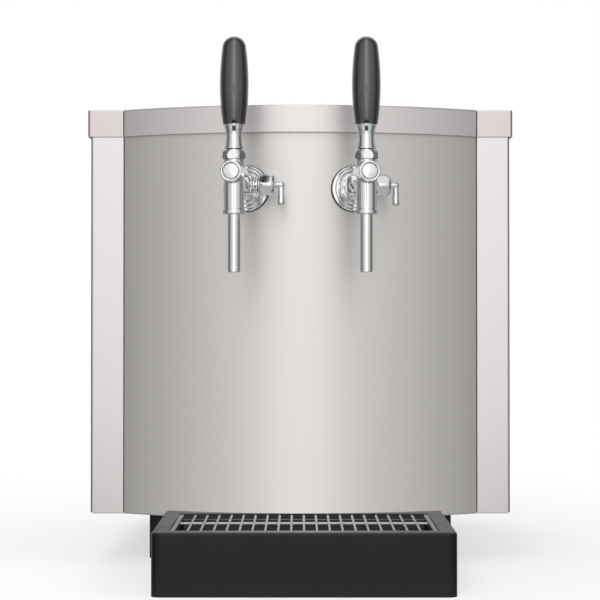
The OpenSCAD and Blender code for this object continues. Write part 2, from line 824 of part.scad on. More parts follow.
module compensator_lever(side) {
  hub_r = 3.75;
  at_compensator(side) {
    sideways(6, comp_hub_x, spindle_r);
    sideways(comp_x + comp_len + 0.5, comp_hub_x + hub_r - 1, hub_r);
    translate([comp_hub_x, 0, 0]) {
      sphere(hub_r);
      translate([0, 0, -comp_drop]) cylinder(h = comp_drop, r1 = 3.5, r2 = 2.7);
      translate([0, 0, -comp_drop]) sphere(3.6);
    }
  }
}
module left_compensator_lever() { color("#c9cccf") compensator_lever(-1); }
module right_compensator_lever() { color("#c9cccf") compensator_lever(1); }

// Beer lines: in at the rear, down, round the cold coil and out to the shank
function tap_point(f, z) = [
  tap_x + f * sin(tap_yaw), tap_y - f * cos(tap_yaw), shank_z + z
];
riser_y = bath_cy + coil_r + tube_r + 22;
function coil_points() = [
  for (i = [0 : coil_turns * 24])
    let (a = 180 - i * 15)
      [coil_x + coil_r * cos(a), bath_cy + coil_r * sin(a), coil_z1 - coil_pitch * i / 24]
];
function product_route() = concat(
  route([
    tap_point(-shank_in + 10, 0),
    tap_point(-shank_in - 18, 0),
    [inlet_x, bath_cy - 36, coil_z1 + 8],
    [inlet_x, bath_cy - 2, coil_z1 + 0.4]
  ], 16, 4),
  coil_points(),
  route([
    [inlet_x, bath_cy + 3, coil_z0 - 0.3],
    [inlet_x, riser_y, coil_z0 - 2],
    [inlet_x, riser_y, inlet_z],
    [inlet_x, cavity_y1 + 2, inlet_z]
  ], 14, 4)
);
module product_line(side) {
  for_side(side) tube(product_route(), tube_r, 6);
}
module left_product_line() { color("#c2c5c7") product_line(-1); }
module right_product_line() { color("#c2c5c7") product_line(1); }
module product_inlet(side) {
  translate([side * inlet_x, 0, inlet_z])
    difference() {
      union() {
        rearward(cavity_y1 - 6, rear_y + inlet_nut_t, inlet_r);
        translate([0, rear_y, 0]) rotate([-90, 0, 0])
          cylinder(h = inlet_nut_t, r = inlet_r + 5, $fn = 6);
        rearward(rear_y, rear_y + inlet_reach, stem_out_r);
      }
      rearward(cavity_y1 - 7, rear_y, tube_r + fixed_fit);
      rearward(cavity_y1, rear_y + inlet_reach + eps, stem_out_r - 1.5);
    }
}
module left_product_inlet() { color("#b9bcbe") product_inlet(-1); }
module right_product_inlet() { color("#b9bcbe") product_inlet(1); }

// Cold bath
module cold_bath() {
  color("#d9dbda")
    difference() {
      union() {
        difference() {
          translate([-bath_x, bath_y0, bath_z0])
            cube([2 * bath_x, bath_y1 - bath_y0, bath_z1 - bath_z0]);
          translate([0, 0, cavity_z0]) linear_extrude(bath_z1)
            round_box(-cavity_x, cavity_x, cavity_y0, cavity_y1, 12);
        }
        for (y = [cavity_y0 - eps, cavity_y1 - 10])
          translate([-bar_half, y, bar_z - 10]) cube([2 * bar_half, 10 + eps, 10]);
      }
      for (s = [-1, 1]) {
        at_tap(s) outward(-shank_in - 10, -10, shank_r + fixed_fit);
        translate([s * inlet_x, 0, inlet_z])
          rearward(cavity_y1 - 2, bath_y1 + eps, inlet_r + fixed_fit);
      }
      translate([compressor_x, 0, evap_z0])
        rearward(cavity_y1 - 2, bath_y1 + eps, tube_r + fixed_fit);
      translate([liquid_x, 0, evap_z1])
        rearward(cavity_y1 - 2, bath_y1 + eps, tube_r + fixed_fit);
    }
}
rail_t = 2;
rail_leg = 30;
module tank_rails() {
  wall_x = body_w / 2 - sheet_t;
  color("#9c9e9f")
    for (s = [-1, 1])
      for_side(s) {
        translate([wall_x - rail_t, bath_y0 + 20, bath_z0 - rail_leg])
          cube([rail_t, bath_y1 - bath_y0 - 40, rail_leg]);
        translate([bath_x - 7, bath_y0 + 20, bath_z0 - rail_t])
          cube([wall_x - bath_x + 7, bath_y1 - bath_y0 - 40, rail_t]);
      }
}
function evap_corner(i) = [
  (i % 4 == 0 || i % 4 == 1) ? -evap_x : evap_x,
  (i % 4 == 0 || i % 4 == 3) ? evap_y1 : evap_y0,
  evap_z0 + evap_pitch * i / 4
];
function evap_route() = route(concat(
  [
    [compressor_x, compressor_y + 20, stub_z1],
    [compressor_x, compressor_y + 20, suction_z],
    [compressor_x, pipe_y, suction_z],
    [compressor_x, pipe_y, evap_z0],
    [compressor_x, evap_y1, evap_z0]
  ],
  [for (i = [0 : evap_turns * 4 - 1]) evap_corner(i)],
  [
    [liquid_x, evap_y1, evap_z1],
    [liquid_x, pipe_y, evap_z1],
    [liquid_x, pipe_y, body_z0 + condenser_h + stub_h]
  ]
), 12, 4);
module evaporator_coil() { color("#b87348") tube(evap_route(), tube_r, 6); }
module agitator_motor() {
  color("#3c3f42")
    translate([0, bath_cy, 0])
      difference() {
        union() {
          translate([-bar_half, cavity_y0 - bath_cy + 1, bar_z])
            cube([2 * bar_half, cavity_y1 - cavity_y0 - 2, bar_t]);
          translate([0, 0, bar_z]) cylinder(h = bar_t + can_h, r = can_r);
        }
        translate([0, 0, bar_z - eps]) cylinder(h = bearing_h + eps, r = shaft_r + run_fit);
      }
}
module agitator_rotor() {
  foot_z = cavity_z0 + 14;
  color("#c2c5c7")
    translate([0, bath_cy, 0]) {
      translate([0, 0, foot_z]) cylinder(h = bar_z + bearing_h - 1 - foot_z, r = shaft_r);
      translate([0, 0, foot_z]) cylinder(h = hub_h, r = shaft_r + 2);
      for (a = [0 : 90 : 270])
        rotate([0, 0, a]) translate([0, 0, foot_z + 6]) rotate([35, 0, 0])
          translate([0, -1, -5]) cube([impeller_r - 1, 2, 10]);
    }
}

// Machine space
function grommet_places() = [
  for (x = [-1, 1])
    for (y = [-1, 1])
      [compressor_x + x * (compressor_r - 8), compressor_y + y * (compressor_r - 8)]
];
module compressor() {
  body_half = compressor_h / 2;
  color("#1f2022") {
    translate([compressor_x, compressor_y, compressor_z0 + body_half])
      intersection() {
        cylinder(h = compressor_h, r = compressor_r, center = true);
        sphere(norm([compressor_r * 0.8, body_half]), $fn = 128);
      }
    translate([compressor_x - compressor_r, compressor_y - compressor_r, compressor_z0 - plate_t])
      cube([2 * compressor_r, 2 * compressor_r, plate_t + 4]);
    translate([compressor_x, compressor_y + 20, compressor_z0 + compressor_h - 5])
      cylinder(h = stub_z1 - compressor_z0 - compressor_h + 5, r = stub_r);
    translate([compressor_x, compressor_y, discharge_z])
      sideways(0, compressor_r + stub_h, stub_r);
  }
}
module compressor_grommets() {
  color("#232323")
    for (p = grommet_places())
      translate([p[0], p[1], body_z0]) cylinder(h = grommet_h, r = 8);
}
module discharge_line() {
  color("#b87348")
    tube(route([
      [compressor_x + compressor_r + stub_h, compressor_y, discharge_z],
      [discharge_x, compressor_y, discharge_z],
      [discharge_x, pipe_y, discharge_z],
      [-stub_h, pipe_y, discharge_z]
    ], 9, 4), tube_r, 6);
}
module condenser() {
  pitch = condenser_w / fin_count;
  color("#8f9294") {
    for (i = [0 : fin_count])
      translate([min(i * pitch, condenser_w - 1), condenser_y0, body_z0])
        cube([1, condenser_t, condenser_h]);
    for (k = [0 : row_count - 1])
      translate([0, pipe_y, row_z0 + k * row_step]) sideways(0, condenser_w, tube_r);
    translate([0, pipe_y, discharge_z]) sideways(-stub_h, 1, stub_r);
    translate([liquid_x, pipe_y, row_z1])
      cylinder(h = body_z0 + condenser_h + stub_h - row_z1, r = stub_r);
  }
}
module fan_shroud() {
  color("#2a2b2d")
    difference() {
      union() {
        translate([0, shroud_y1 - shroud_t, body_z0]) cube([condenser_w, shroud_t, condenser_h]);
        translate([0, shroud_y1, body_z0]) cube([condenser_w, shroud_gap, shroud_foot_h]);
        translate([fan_x, 0, fan_z])
          rearward(shroud_y1 - ring_h, shroud_y1, fan_r + tip_gap + ring_t);
      }
      translate([fan_x, 0, fan_z])
        rearward(shroud_y1 - ring_h - eps, shroud_y1 + eps, fan_r + tip_gap);
    }
}
motor_y1 = fan_y - 6;
arm_w = 8;
arm_t = 3;
module fan_motor() {
  color("#4a4c4e")
    translate([fan_x, 0, fan_z]) {
      rearward(motor_y1 - motor_len, motor_y1, motor_r);
      rearward(motor_y1, fan_y + 12, fan_shaft_r);
      for (a = [45 : 90 : 315])
        rotate([0, a, 0]) {
          translate([motor_r - 2, motor_y1 - arm_w, -arm_w / 2])
            cube([fan_r + tip_gap + ring_t - motor_r, arm_t, arm_w]);
          translate([fan_r + 1, motor_y1 - arm_w, -arm_w / 2])
            cube([arm_t, shroud_y1 - ring_h - motor_y1 + arm_w, arm_w]);
        }
    }
}
module fan_blade() {
  hub_r = fan_shaft_r + 8;
  hub_y1 = 9;
  blade_t = 1.6;
  blade_w = 18;
  color("#d4d5d2")
    translate([fan_x, fan_y, fan_z])
      difference() {
        union() {
          rearward(-3, hub_y1, hub_r);
          for (i = [0 : blade_count - 1])
            rotate([0, 360 * i / blade_count, 0])
              translate([hub_r - 2, hub_y1 / 3, 0]) rotate([30, 0, 0])
                translate([0, -blade_t / 2, -blade_w / 2])
                  cube([fan_r - hub_r, blade_t, blade_w]);
        }
        rearward(-10, 20, fan_shaft_r + run_fit);
      }
}

// Controls on the rear panel
thermostat_neck_r = 6;
knob_h = 14;
switch_w = 28;
switch_hh = 20;
power_w = 30;
power_hh = 24;
module thermostat() {
  color("#d8d6cf")
    translate([control_x, 0, thermostat_z])
      difference() {
        union() {
          translate([-18, cover_rear_y - 30, -15]) cube([36, 30, 30]);
          rearward(cover_rear_y - 1, rear_y + 1.5, thermostat_neck_r);
        }
        rearward(cover_rear_y - 20, rear_y + 5, 3 + run_fit);
      }
}
module thermostat_knob() {
  color("#1c1c1c")
    translate([control_x, 0, thermostat_z])
      difference() {
        union() {
          rearward(cover_rear_y - 18, rear_y + 4, 3);
          rearward(rear_y + 2, rear_y + 2 + knob_h, knob_r);
        }
        translate([-1, rear_y + knob_h + 1, 0]) cube([2, 3, knob_r + 1]);
      }
}
rocker_w = 12;
rocker_half = 8;
module switch_frame() {
  color("#1c1c1c")
    translate([control_x, 0, switch_z])
      difference() {
        union() {
          translate([-switch_w / 2, cover_rear_y - 22, -switch_hh / 2])
            cube([switch_w, 22 + sheet_t, switch_hh]);
          translate([-switch_w / 2 - 2, rear_y, -switch_hh / 2 - 2])
            cube([switch_w + 4, 2, switch_hh + 4]);
        }
        translate([-rocker_w / 2 - move_gap, rear_y - 14, -rocker_half - 1])
          cube([rocker_w + 2 * move_gap, 20, 2 * rocker_half + 2]);
        translate([0, rear_y - 4, 0]) sideways(-rocker_w / 2 - 4, rocker_w / 2 + 4, 1.5 + run_fit);
      }
}
module rocker_switch() {
  color("#a3201c")
    translate([control_x, rear_y - 4, switch_z])
      rotate([10, 0, 0]) {
        intersection() {
          sideways(-rocker_w / 2, rocker_w / 2, rocker_half);
          translate([-rocker_w, -3, -rocker_half]) cube([2 * rocker_w, 11, 2 * rocker_half]);
        }
        sideways(-rocker_w / 2 - 3.5, rocker_w / 2 + 3.5, 1.5);
      }
}
module power_inlet() {
  color("#1a1a1a")
    translate([control_x, 0, power_z]) {
      difference() {
        union() {
          translate([-power_w / 2, cover_rear_y - 24, -power_hh / 2])
            cube([power_w, 24 + sheet_t, power_hh]);
          translate([-power_w / 2 - 3, rear_y, -power_hh / 2 - 3])
            cube([power_w + 6, 2.5, power_hh + 6]);
        }
        translate([-power_w / 2 + 3, rear_y - 15, -power_hh / 2 + 4])
          cube([power_w - 6, 30, power_hh - 8]);
      }
      for (p = [[-7, -2], [0, 3], [7, -2]])
        translate([p[0] - 1, rear_y - 16, p[1] - 2]) cube([2, 14, 4]);
    }
}

plinth();
rubber_feet();
base_pan();
front_panel();
left_side_cover();
right_side_cover();
rear_panel();
cover_screws();
lid_top();
lid_front_band();
left_lid_rail();
right_lid_rail();
lid_insulation();
drip_tray();
tray_grille();
gaskets();
flanges();
front_plugs();
bonnet_nuts();
compensator_bonnets();
shank_nuts();
left_tap_body();
right_tap_body();
left_spout();
right_spout();
left_shank();
right_shank();
left_lever_stem();
right_lever_stem();
left_ferrule();
right_ferrule();
left_handle();
right_handle();
left_valve_piston();
right_valve_piston();
left_compensator_lever();
right_compensator_lever();
left_product_line();
right_product_line();
left_product_inlet();
right_product_inlet();
cold_bath();
tank_rails();
evaporator_coil();
agitator_motor();
agitator_rotor();
compressor();
compressor_grommets();
discharge_line();
condenser();
fan_shroud();
fan_motor();
fan_blade();
thermostat();
thermostat_knob();
switch_frame();
rocker_switch();
power_inlet();
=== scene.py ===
# %% [markdown]
# # A draft beer dispenser for two beers
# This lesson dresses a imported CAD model: a square cooling cabinet with a bowed, brushed steel front,
# two chrome taps with black handles and a loose black drip tray. The CAD gives every size and place.
# Blender adds what CAD leaves out: soft edges, turned curves, cast blends and the finishes.

# %% Load the frame
import math

import bmesh
import bpy
from mathutils import Matrix, Vector


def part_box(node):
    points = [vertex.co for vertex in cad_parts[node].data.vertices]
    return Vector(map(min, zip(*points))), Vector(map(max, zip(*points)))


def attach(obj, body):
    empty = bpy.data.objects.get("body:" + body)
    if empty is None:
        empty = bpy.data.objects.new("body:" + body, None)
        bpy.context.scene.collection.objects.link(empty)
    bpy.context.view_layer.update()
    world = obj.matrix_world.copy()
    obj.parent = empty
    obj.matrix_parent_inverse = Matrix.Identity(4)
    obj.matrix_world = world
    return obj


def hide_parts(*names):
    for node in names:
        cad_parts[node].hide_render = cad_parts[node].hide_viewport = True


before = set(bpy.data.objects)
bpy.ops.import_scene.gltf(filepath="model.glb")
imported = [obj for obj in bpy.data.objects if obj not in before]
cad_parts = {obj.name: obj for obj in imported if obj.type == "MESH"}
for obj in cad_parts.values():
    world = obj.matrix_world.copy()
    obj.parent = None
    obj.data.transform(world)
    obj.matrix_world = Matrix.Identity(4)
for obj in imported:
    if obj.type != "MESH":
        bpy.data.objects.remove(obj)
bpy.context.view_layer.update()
scene = bpy.context.scene

# %% [markdown]
# ## Camera
# The picture was taken with a long lens, straight from the front and a little above the middle of the
# cabinet. A 96 mm lens on a 36 mm sensor gives the same flat perspective; the camera looks up by less
# than a degree, so upright edges stay upright.

# %% Camera
eye = bpy.data.objects.new("eye", bpy.data.cameras.new("eye"))
eye.data.lens = 96
eye.data.sensor_width = 36
eye.location = (-0.0003, -1.860, 0.2658)
eye.rotation_euler = (math.radians(90.716), 0, 0)
scene.collection.objects.link(eye)
scene.camera = eye
scene.view_settings.view_transform = "Standard"
print("camera at", tuple(round(v, 4) for v in eye.location))

# %% [markdown]
# ## Nodes in short words
# Shader nodes take many lines when each socket is set by hand. This helper makes one node, sets its
# options, and fills each input with a plain value or with a link, whichever it is given.

# %% Node helper
def add(tree, kind, inputs=None, **options):
    made = tree.nodes.new(kind)
    for name, value in options.items():
        setattr(made, name, value)
    for name, value in (inputs or {}).items():
        socket = made.inputs[name]
        if kind == "ShaderNodeMix" and name in ("A", "B"):
            socket = made.inputs[6 if name == "A" else 7]
        if isinstance(value, bpy.types.NodeSocket):
            tree.links.new(value, socket)
        else:
            socket.default_value = value
    return made


def ramp(tree, source, stops):
    made = add(tree, "ShaderNodeValToRGB", {"Fac": source})
    points = made.color_ramp.elements
    points[0].position = stops[0][0]
    points[1].position = stops[-1][0]
    middle = [points.new(place) for place, grey in stops[1:-1]]
    for point, (place, grey) in zip(sorted(points, key=lambda p: p.position), stops):
        point.color = (grey, grey, grey, 1)
    print("ramp of", len(middle) + 2, "stops")
    return made.outputs["Color"]

# %% [markdown]
# ## Studio
# Polished metal has no colour of its own: it shows the room. So the room is made for it, bright in
# front, dark at both sides and bright again behind, with two dark patches in front. Rays from the
# camera see plain white there, mirror rays see the graded room, and all other rays find an even light.

# %% Room
room = bpy.data.worlds.new("room")
scene.world = room
room.use_nodes = True
tree = room.node_tree
tree.nodes.clear()
view = add(tree, "ShaderNodeTexCoord").outputs["Generated"]
part = add(tree, "ShaderNodeSeparateXYZ", {"Vector": view})
across = add(tree, "ShaderNodeMath", {0: part.outputs["X"]}, operation="ABSOLUTE")
towards = add(tree, "ShaderNodeMath", {0: part.outputs["Y"], 1: -1.0}, operation="MULTIPLY")
turn = add(tree, "ShaderNodeMath", {0: across.outputs[0], 1: towards.outputs[0]}, operation="ARCTAN2")
share = add(tree, "ShaderNodeMath", {0: turn.outputs[0], 1: math.pi}, operation="DIVIDE")
around = ramp(tree, share.outputs[0], [
    (0.0, 1.95), (0.05, 1.5), (0.10, 1.07), (0.17, 0.82), (0.26, 0.64), (0.34, 0.56), (0.43, 0.2),
    (0.56, 0.12), (0.70, 0.5), (0.85, 0.8),
])
height = add(tree, "ShaderNodeMapRange", {"Value": part.outputs["Z"], "From Min": -0.7, "From Max": 0.3})
upwards = ramp(tree, height.outputs[0], [
    (0.0, 0.5), (0.15, 0.95), (0.36, 0.95), (0.5, 0.82), (0.588, 0.77), (0.62, 0.8), (0.68, 0.89),
    (0.745, 0.93), (0.8, 1.0), (1.0, 1.0),
])


def window(source, opens, full, fades, shut):
    rise = add(tree, "ShaderNodeMapRange", {"Value": source, "From Min": opens, "From Max": full})
    fall = add(tree, "ShaderNodeMapRange", {"Value": source, "From Min": shut, "From Max": fades})
    both = add(tree, "ShaderNodeMath", {0: rise.outputs[0], 1: fall.outputs[0]}, operation="MULTIPLY")
    return both.outputs[0]


def darkened(colour, sideways, upright, left):
    spot = add(tree, "ShaderNodeMath", {0: sideways, 1: upright}, operation="MULTIPLY")
    keep = add(tree, "ShaderNodeMapRange", {"Value": spot.outputs[0], "To Min": 1.0, "To Max": left})
    return add(tree, "ShaderNodeMix", {"Factor": 1.0, "A": colour, "B": keep.outputs[0]},
               data_type="RGBA", blend_type="MULTIPLY").outputs[2]


graded = add(tree, "ShaderNodeMix", {"Factor": 1.0, "A": around, "B": upwards},
             data_type="RGBA", blend_type="MULTIPLY").outputs[2]
graded = darkened(graded, window(share.outputs[0], -1.0, -0.5, 0.12, 0.16),
                  window(part.outputs["Z"], -0.52, -0.45, -0.21, -0.15), 0.05)
graded = darkened(graded, window(share.outputs[0], -1.0, -0.5, 0.012, 0.034),
                  window(part.outputs["Z"], 0.05, 0.07, 0.11, 0.14), 0.2)
path = add(tree, "ShaderNodeLightPath")
mirrored = add(tree, "ShaderNodeMath", {
    0: path.outputs["Is Glossy Ray"], 1: path.outputs["Is Transmission Ray"],
}, operation="MAXIMUM")
seen = add(tree, "ShaderNodeMath", {
    0: path.outputs["Is Camera Ray"], 1: mirrored.outputs[0],
}, operation="MAXIMUM")
plain = add(tree, "ShaderNodeBackground", {"Color": (0.97, 0.98, 1.0, 1), "Strength": 0.62})
white = add(tree, "ShaderNodeBackground", {"Color": (1, 1, 1, 1), "Strength": 1.0})
walls = add(tree, "ShaderNodeBackground", {"Color": graded, "Strength": 1.0})
shown = add(tree, "ShaderNodeMixShader", {
    0: path.outputs["Is Camera Ray"], 1: walls.outputs[0], 2: white.outputs[0],
})
both = add(tree, "ShaderNodeMixShader", {0: seen.outputs[0], 1: plain.outputs[0], 2: shown.outputs[0]})
add(tree, "ShaderNodeOutputWorld", {"Surface": both.outputs[0]})
print("room nodes:", len(tree.nodes))

# %% [markdown]
# ## Floor and lamps
# The floor is a pale plane. Close to the object it keeps a soft shadow, and for the camera it fades to
# the same white as the room. Three large lamps light the matte pieces at a plain level; the metal
# takes its look from the room, so mirror rays do not see the lamps.

# %% Floor
bm = bmesh.new()
bmesh.ops.create_circle(bm, cap_ends=True, segments=96, radius=1.1)
ground = bpy.data.meshes.new("floor")
bm.to_mesh(ground)
bm.free()
floor = bpy.data.objects.new("floor", ground)
floor.visible_glossy = False
scene.collection.objects.link(floor)
paint = bpy.data.materials.new("pale_floor")
paint.use_nodes = True
tree = paint.node_tree
matte = tree.nodes["Principled BSDF"]
matte.inputs["Base Color"].default_value = (0.8, 0.8, 0.8, 1)
matte.inputs["Roughness"].default_value = 0.9
matte.inputs["Specular IOR Level"].default_value = 0.1
spot = add(tree, "ShaderNodeTexCoord").outputs["Object"]
far = add(tree, "ShaderNodeVectorMath", {0: spot}, operation="LENGTH")
fade = add(tree, "ShaderNodeMapRange", {
    "Value": far.outputs["Value"], "From Min": 0.25, "From Max": 1.0, "To Min": 0.62, "To Max": 1.0,
})
path = add(tree, "ShaderNodeLightPath")
veil = add(tree, "ShaderNodeMath", {
    0: fade.outputs[0], 1: path.outputs["Is Camera Ray"],
}, operation="MULTIPLY")
glow = add(tree, "ShaderNodeEmission", {"Color": (1, 1, 1, 1), "Strength": 1.0})
mixed = add(tree, "ShaderNodeMixShader", {0: veil.outputs[0], 1: matte.outputs[0], 2: glow.outputs[0]})
tree.links.new(mixed.outputs[0], tree.nodes["Material Output"].inputs["Surface"])
ground.materials.append(paint)
print("floor", tuple(floor.dimensions))

# %% Lamps
def lamp(name, place, aim, size, power):
    light = bpy.data.lights.new(name, "AREA")
    light.shape = "DISK"
    light.size = size
    light.energy = power
    holder = bpy.data.objects.new(name, light)
    holder.location = place
    holder.rotation_euler = (Vector(aim) - Vector(place)).to_track_quat("-Z", "Y").to_euler()
    holder.visible_glossy = False
    scene.collection.objects.link(holder)
    return holder


lamps = [
    lamp("front_soft", (-0.7, -2.3, 2.0), (0, -0.1, 0.25), 1.8, 42),
    lamp("right_soft", (1.9, -1.2, 1.5), (0, 0, 0.25), 1.2, 16),
    lamp("rear_soft", (-0.6, 2.2, 1.9), (0, 0, 0.3), 1.6, 30),
]
print("lamps:", [l.name for l in lamps])

# %% [markdown]
# ## Shared effects as node groups
# Brushed sheet shows fine lines, handled metal shows faint marks, moulded plastic shows a fine grain
# and edges turn a little paler: on paint and rubber that is wear, on the black tray it is a painted
# highlight. Each effect is a node group with named inputs, so that every
# finish can use it with its own values.

# %% Effect groups
def group(name, inputs, output):
    made = bpy.data.node_groups.new(name, "ShaderNodeTree")
    for title, kind, value in inputs:
        socket = made.interface.new_socket(title, in_out="INPUT", socket_type=kind)
        socket.default_value = value
    made.interface.new_socket(output, in_out="OUTPUT", socket_type="NodeSocketFloat")
    return made, made.nodes.new("NodeGroupInput"), made.nodes.new("NodeGroupOutput")


brushed_lines, entry, leave = group("brushed_lines", [
    ("Stretch", "NodeSocketVector", (5, 5, 900)), ("Detail", "NodeSocketFloat", 3.0),
], "Lines")
where = add(brushed_lines, "ShaderNodeTexCoord").outputs["Object"]
laid = add(brushed_lines, "ShaderNodeMapping", {"Vector": where, "Scale": entry.outputs["Stretch"]})
lines = add(brushed_lines, "ShaderNodeTexNoise", {
    "Vector": laid.outputs[0], "Scale": 1.0, "Detail": entry.outputs["Detail"], "Roughness": 0.62,
})
brushed_lines.links.new(lines.outputs["Fac"], leave.inputs["Lines"])

hand_marks, entry, leave = group("hand_marks", [("Size", "NodeSocketFloat", 14.0)], "Marks")
where = add(hand_marks, "ShaderNodeTexCoord").outputs["Object"]
cloud = add(hand_marks, "ShaderNodeTexNoise", {
    "Vector": where, "Scale": entry.outputs["Size"], "Detail": 5.0, "Roughness": 0.55, "Distortion": 0.6,
})
clear = ramp(hand_marks, cloud.outputs["Fac"], [(0.42, 0.0), (0.72, 1.0)])
hand_marks.links.new(clear, leave.inputs["Marks"])

moulded_grain, entry, leave = group("moulded_grain", [("Size", "NodeSocketFloat", 900.0)], "Grain")
where = add(moulded_grain, "ShaderNodeTexCoord").outputs["Object"]
cells = add(moulded_grain, "ShaderNodeTexVoronoi", {"Vector": where, "Scale": entry.outputs["Size"]})
fuzz = add(moulded_grain, "ShaderNodeTexNoise", {
    "Vector": where, "Scale": entry.outputs["Size"], "Detail": 2.0,
})
blend = add(moulded_grain, "ShaderNodeMath", {
    0: cells.outputs["Distance"], 1: fuzz.outputs["Fac"],
}, operation="ADD")
moulded_grain.links.new(blend.outputs[0], leave.inputs["Grain"])

# Edges paler by pointiness: real wear on painted and rubber pieces, a painted highlight on the tray's edges.
worn_and_lit_edges, entry, leave = group("worn_and_lit_edges", [("Reach", "NodeSocketFloat", 0.56)], "Wear_and_highlight")
shape = add(worn_and_lit_edges, "ShaderNodeNewGeometry").outputs["Pointiness"]
past = add(worn_and_lit_edges, "ShaderNodeMath", {0: shape, 1: entry.outputs["Reach"]}, operation="SUBTRACT")
lift = add(worn_and_lit_edges, "ShaderNodeMath", {0: past.outputs[0], 1: 9.0}, operation="MULTIPLY", use_clamp=True)
where = add(worn_and_lit_edges, "ShaderNodeTexCoord").outputs["Object"]
broken = add(worn_and_lit_edges, "ShaderNodeTexNoise", {"Vector": where, "Scale": 160.0, "Detail": 4.0})
mask = add(worn_and_lit_edges, "ShaderNodeMath", {
    0: lift.outputs[0], 1: broken.outputs["Fac"],
}, operation="MULTIPLY")
worn_and_lit_edges.links.new(mask.outputs[0], leave.inputs["Wear_and_highlight"])
print("effects:", [g.name for g in bpy.data.node_groups])

# %% [markdown]
# ## Finishes
# A finish starts from one Principled shader. Values that are the same all over sit on its own sockets;
# what changes over the surface comes from the groups, through a range that keeps it subtle.

# %% Finish helpers
def finish(name, colour, roughness, metallic=0.0, constants=None):
    material = bpy.data.materials.new(name)
    material.use_nodes = True
    shader = material.node_tree.nodes["Principled BSDF"]
    shader.inputs["Base Color"].default_value = (*colour, 1)
    shader.inputs["Roughness"].default_value = roughness
    shader.inputs["Metallic"].default_value = metallic
    for socket, value in (constants or {}).items():
        shader.inputs[socket].default_value = value
    return material, material.node_tree, shader


def effect(tree, made, inputs=None):
    placed = tree.nodes.new("ShaderNodeGroup")
    placed.node_tree = made
    for name, value in (inputs or {}).items():
        placed.inputs[name].default_value = value
    return placed.outputs[0]


def vary_roughness(tree, shader, source, low, high):
    span = add(tree, "ShaderNodeMapRange", {"Value": source, "To Min": low, "To Max": high})
    tree.links.new(span.outputs[0], shader.inputs["Roughness"])


def vary_colour(tree, shader, source, one, other):
    mix = add(tree, "ShaderNodeMix", {"Factor": source, "A": (*one, 1), "B": (*other, 1)}, data_type="RGBA")
    tree.links.new(mix.outputs[2], shader.inputs["Base Color"])


def bump(tree, shader, source, depth, strength=1.0):
    raised = add(tree, "ShaderNodeBump", {"Height": source, "Distance": depth, "Strength": strength})
    tree.links.new(raised.outputs[0], shader.inputs["Normal"])

# %% [markdown]
# ## Brushed sheet
# The bowed front is brushed along its width, so its reflections smear up and down and stay narrow
# sideways. The shader's anisotropy does that, led by a small UV map whose first axis runs across the
# lines. The columns, rails, lid and band are the same sheet with a finer satin; each also gets its own
# lighter or darker base colour, which paints in the light and shade that its piece shows.

# %% Sheet finishes
def brushed_sheet(name, colour, darker, rough, smear, stretch):
    material, tree, shader = finish(name, colour, rough[0], 1.0, {"Anisotropic": smear})
    lines = effect(tree, brushed_lines, {"Stretch": stretch, "Detail": 4.0})
    vary_colour(tree, shader, lines, darker, colour)
    vary_roughness(tree, shader, lines, *rough)
    bump(tree, shader, lines, 0.00002, 0.25)
    along = add(tree, "ShaderNodeTangent", direction_type="UV_MAP", uv_map="brush")
    tree.links.new(along.outputs[0], shader.inputs["Tangent"])
    return material


# One stainless steel in lit and shaded copies: base colours differ by piece as painted light and shade, the
# rails darkest.
front_steel = brushed_sheet(
    "front_steel", (0.86, 0.835, 0.81), (0.78, 0.755, 0.73), (0.42, 0.54), 0.8, (3, 3, 1100))
band_steel = brushed_sheet(
    "band_steel", (0.82, 0.775, 0.765), (0.77, 0.73, 0.72), (0.38, 0.48), 0.3, (3, 3, 1300))
column_steel = brushed_sheet(
    "column_steel", (0.62, 0.588, 0.588), (0.587, 0.55, 0.55), (0.18, 0.26), 0.3, (6, 6, 900))
shaded_rail_steel = brushed_sheet(
    "shaded_rail_steel", (0.545, 0.497, 0.497), (0.515, 0.472, 0.472), (0.2, 0.28), 0.3, (6, 6, 900))
lid_steel = brushed_sheet(
    "lid_steel", (0.70, 0.665, 0.66), (0.66, 0.625, 0.62), (0.22, 0.32), 0.5, (4, 1100, 4))
rear_steel, tree, shader = finish("rear_steel", (0.62, 0.62, 0.61), 0.4, 1.0)
lines = effect(tree, brushed_lines, {"Stretch": (5, 5, 800)})
vary_colour(tree, shader, lines, (0.54, 0.54, 0.53), (0.66, 0.66, 0.65))
vary_roughness(tree, shader, lines, 0.32, 0.46)
print("sheet finishes made")

# %% [markdown]
# ## Chrome, tube and wire
# Chrome is almost a mirror. What makes it look real is a trace of cleaning marks in the roughness, not
# a pattern in the colour. Drawn tube and bright wire are the same metal with a slightly duller skin; the
# wire's base colour is also set darker, painted shade where it lies in the tray.

# %% Bright metals
def bright_metal(name, colour, low, high, size):
    material, tree, shader = finish(name, colour, low, 1.0)
    vary_roughness(tree, shader, effect(tree, hand_marks, {"Size": size}), low, high)
    return material


chrome = bright_metal("chrome", (0.84, 0.85, 0.86), 0.05, 0.13, 60.0)
stainless = bright_metal("stainless", (0.74, 0.745, 0.75), 0.16, 0.28, 90.0)
# The grille wire is the tube's metal with a darker base colour: painted shade.
grille_wire = bright_metal("grille_wire", (0.45, 0.455, 0.46), 0.26, 0.4, 120.0)
copper = bright_metal("copper", (0.80, 0.46, 0.30), 0.22, 0.4, 70.0)
fin_metal = bright_metal("fin_metal", (0.60, 0.61, 0.62), 0.34, 0.5, 80.0)
print("bright metals made")
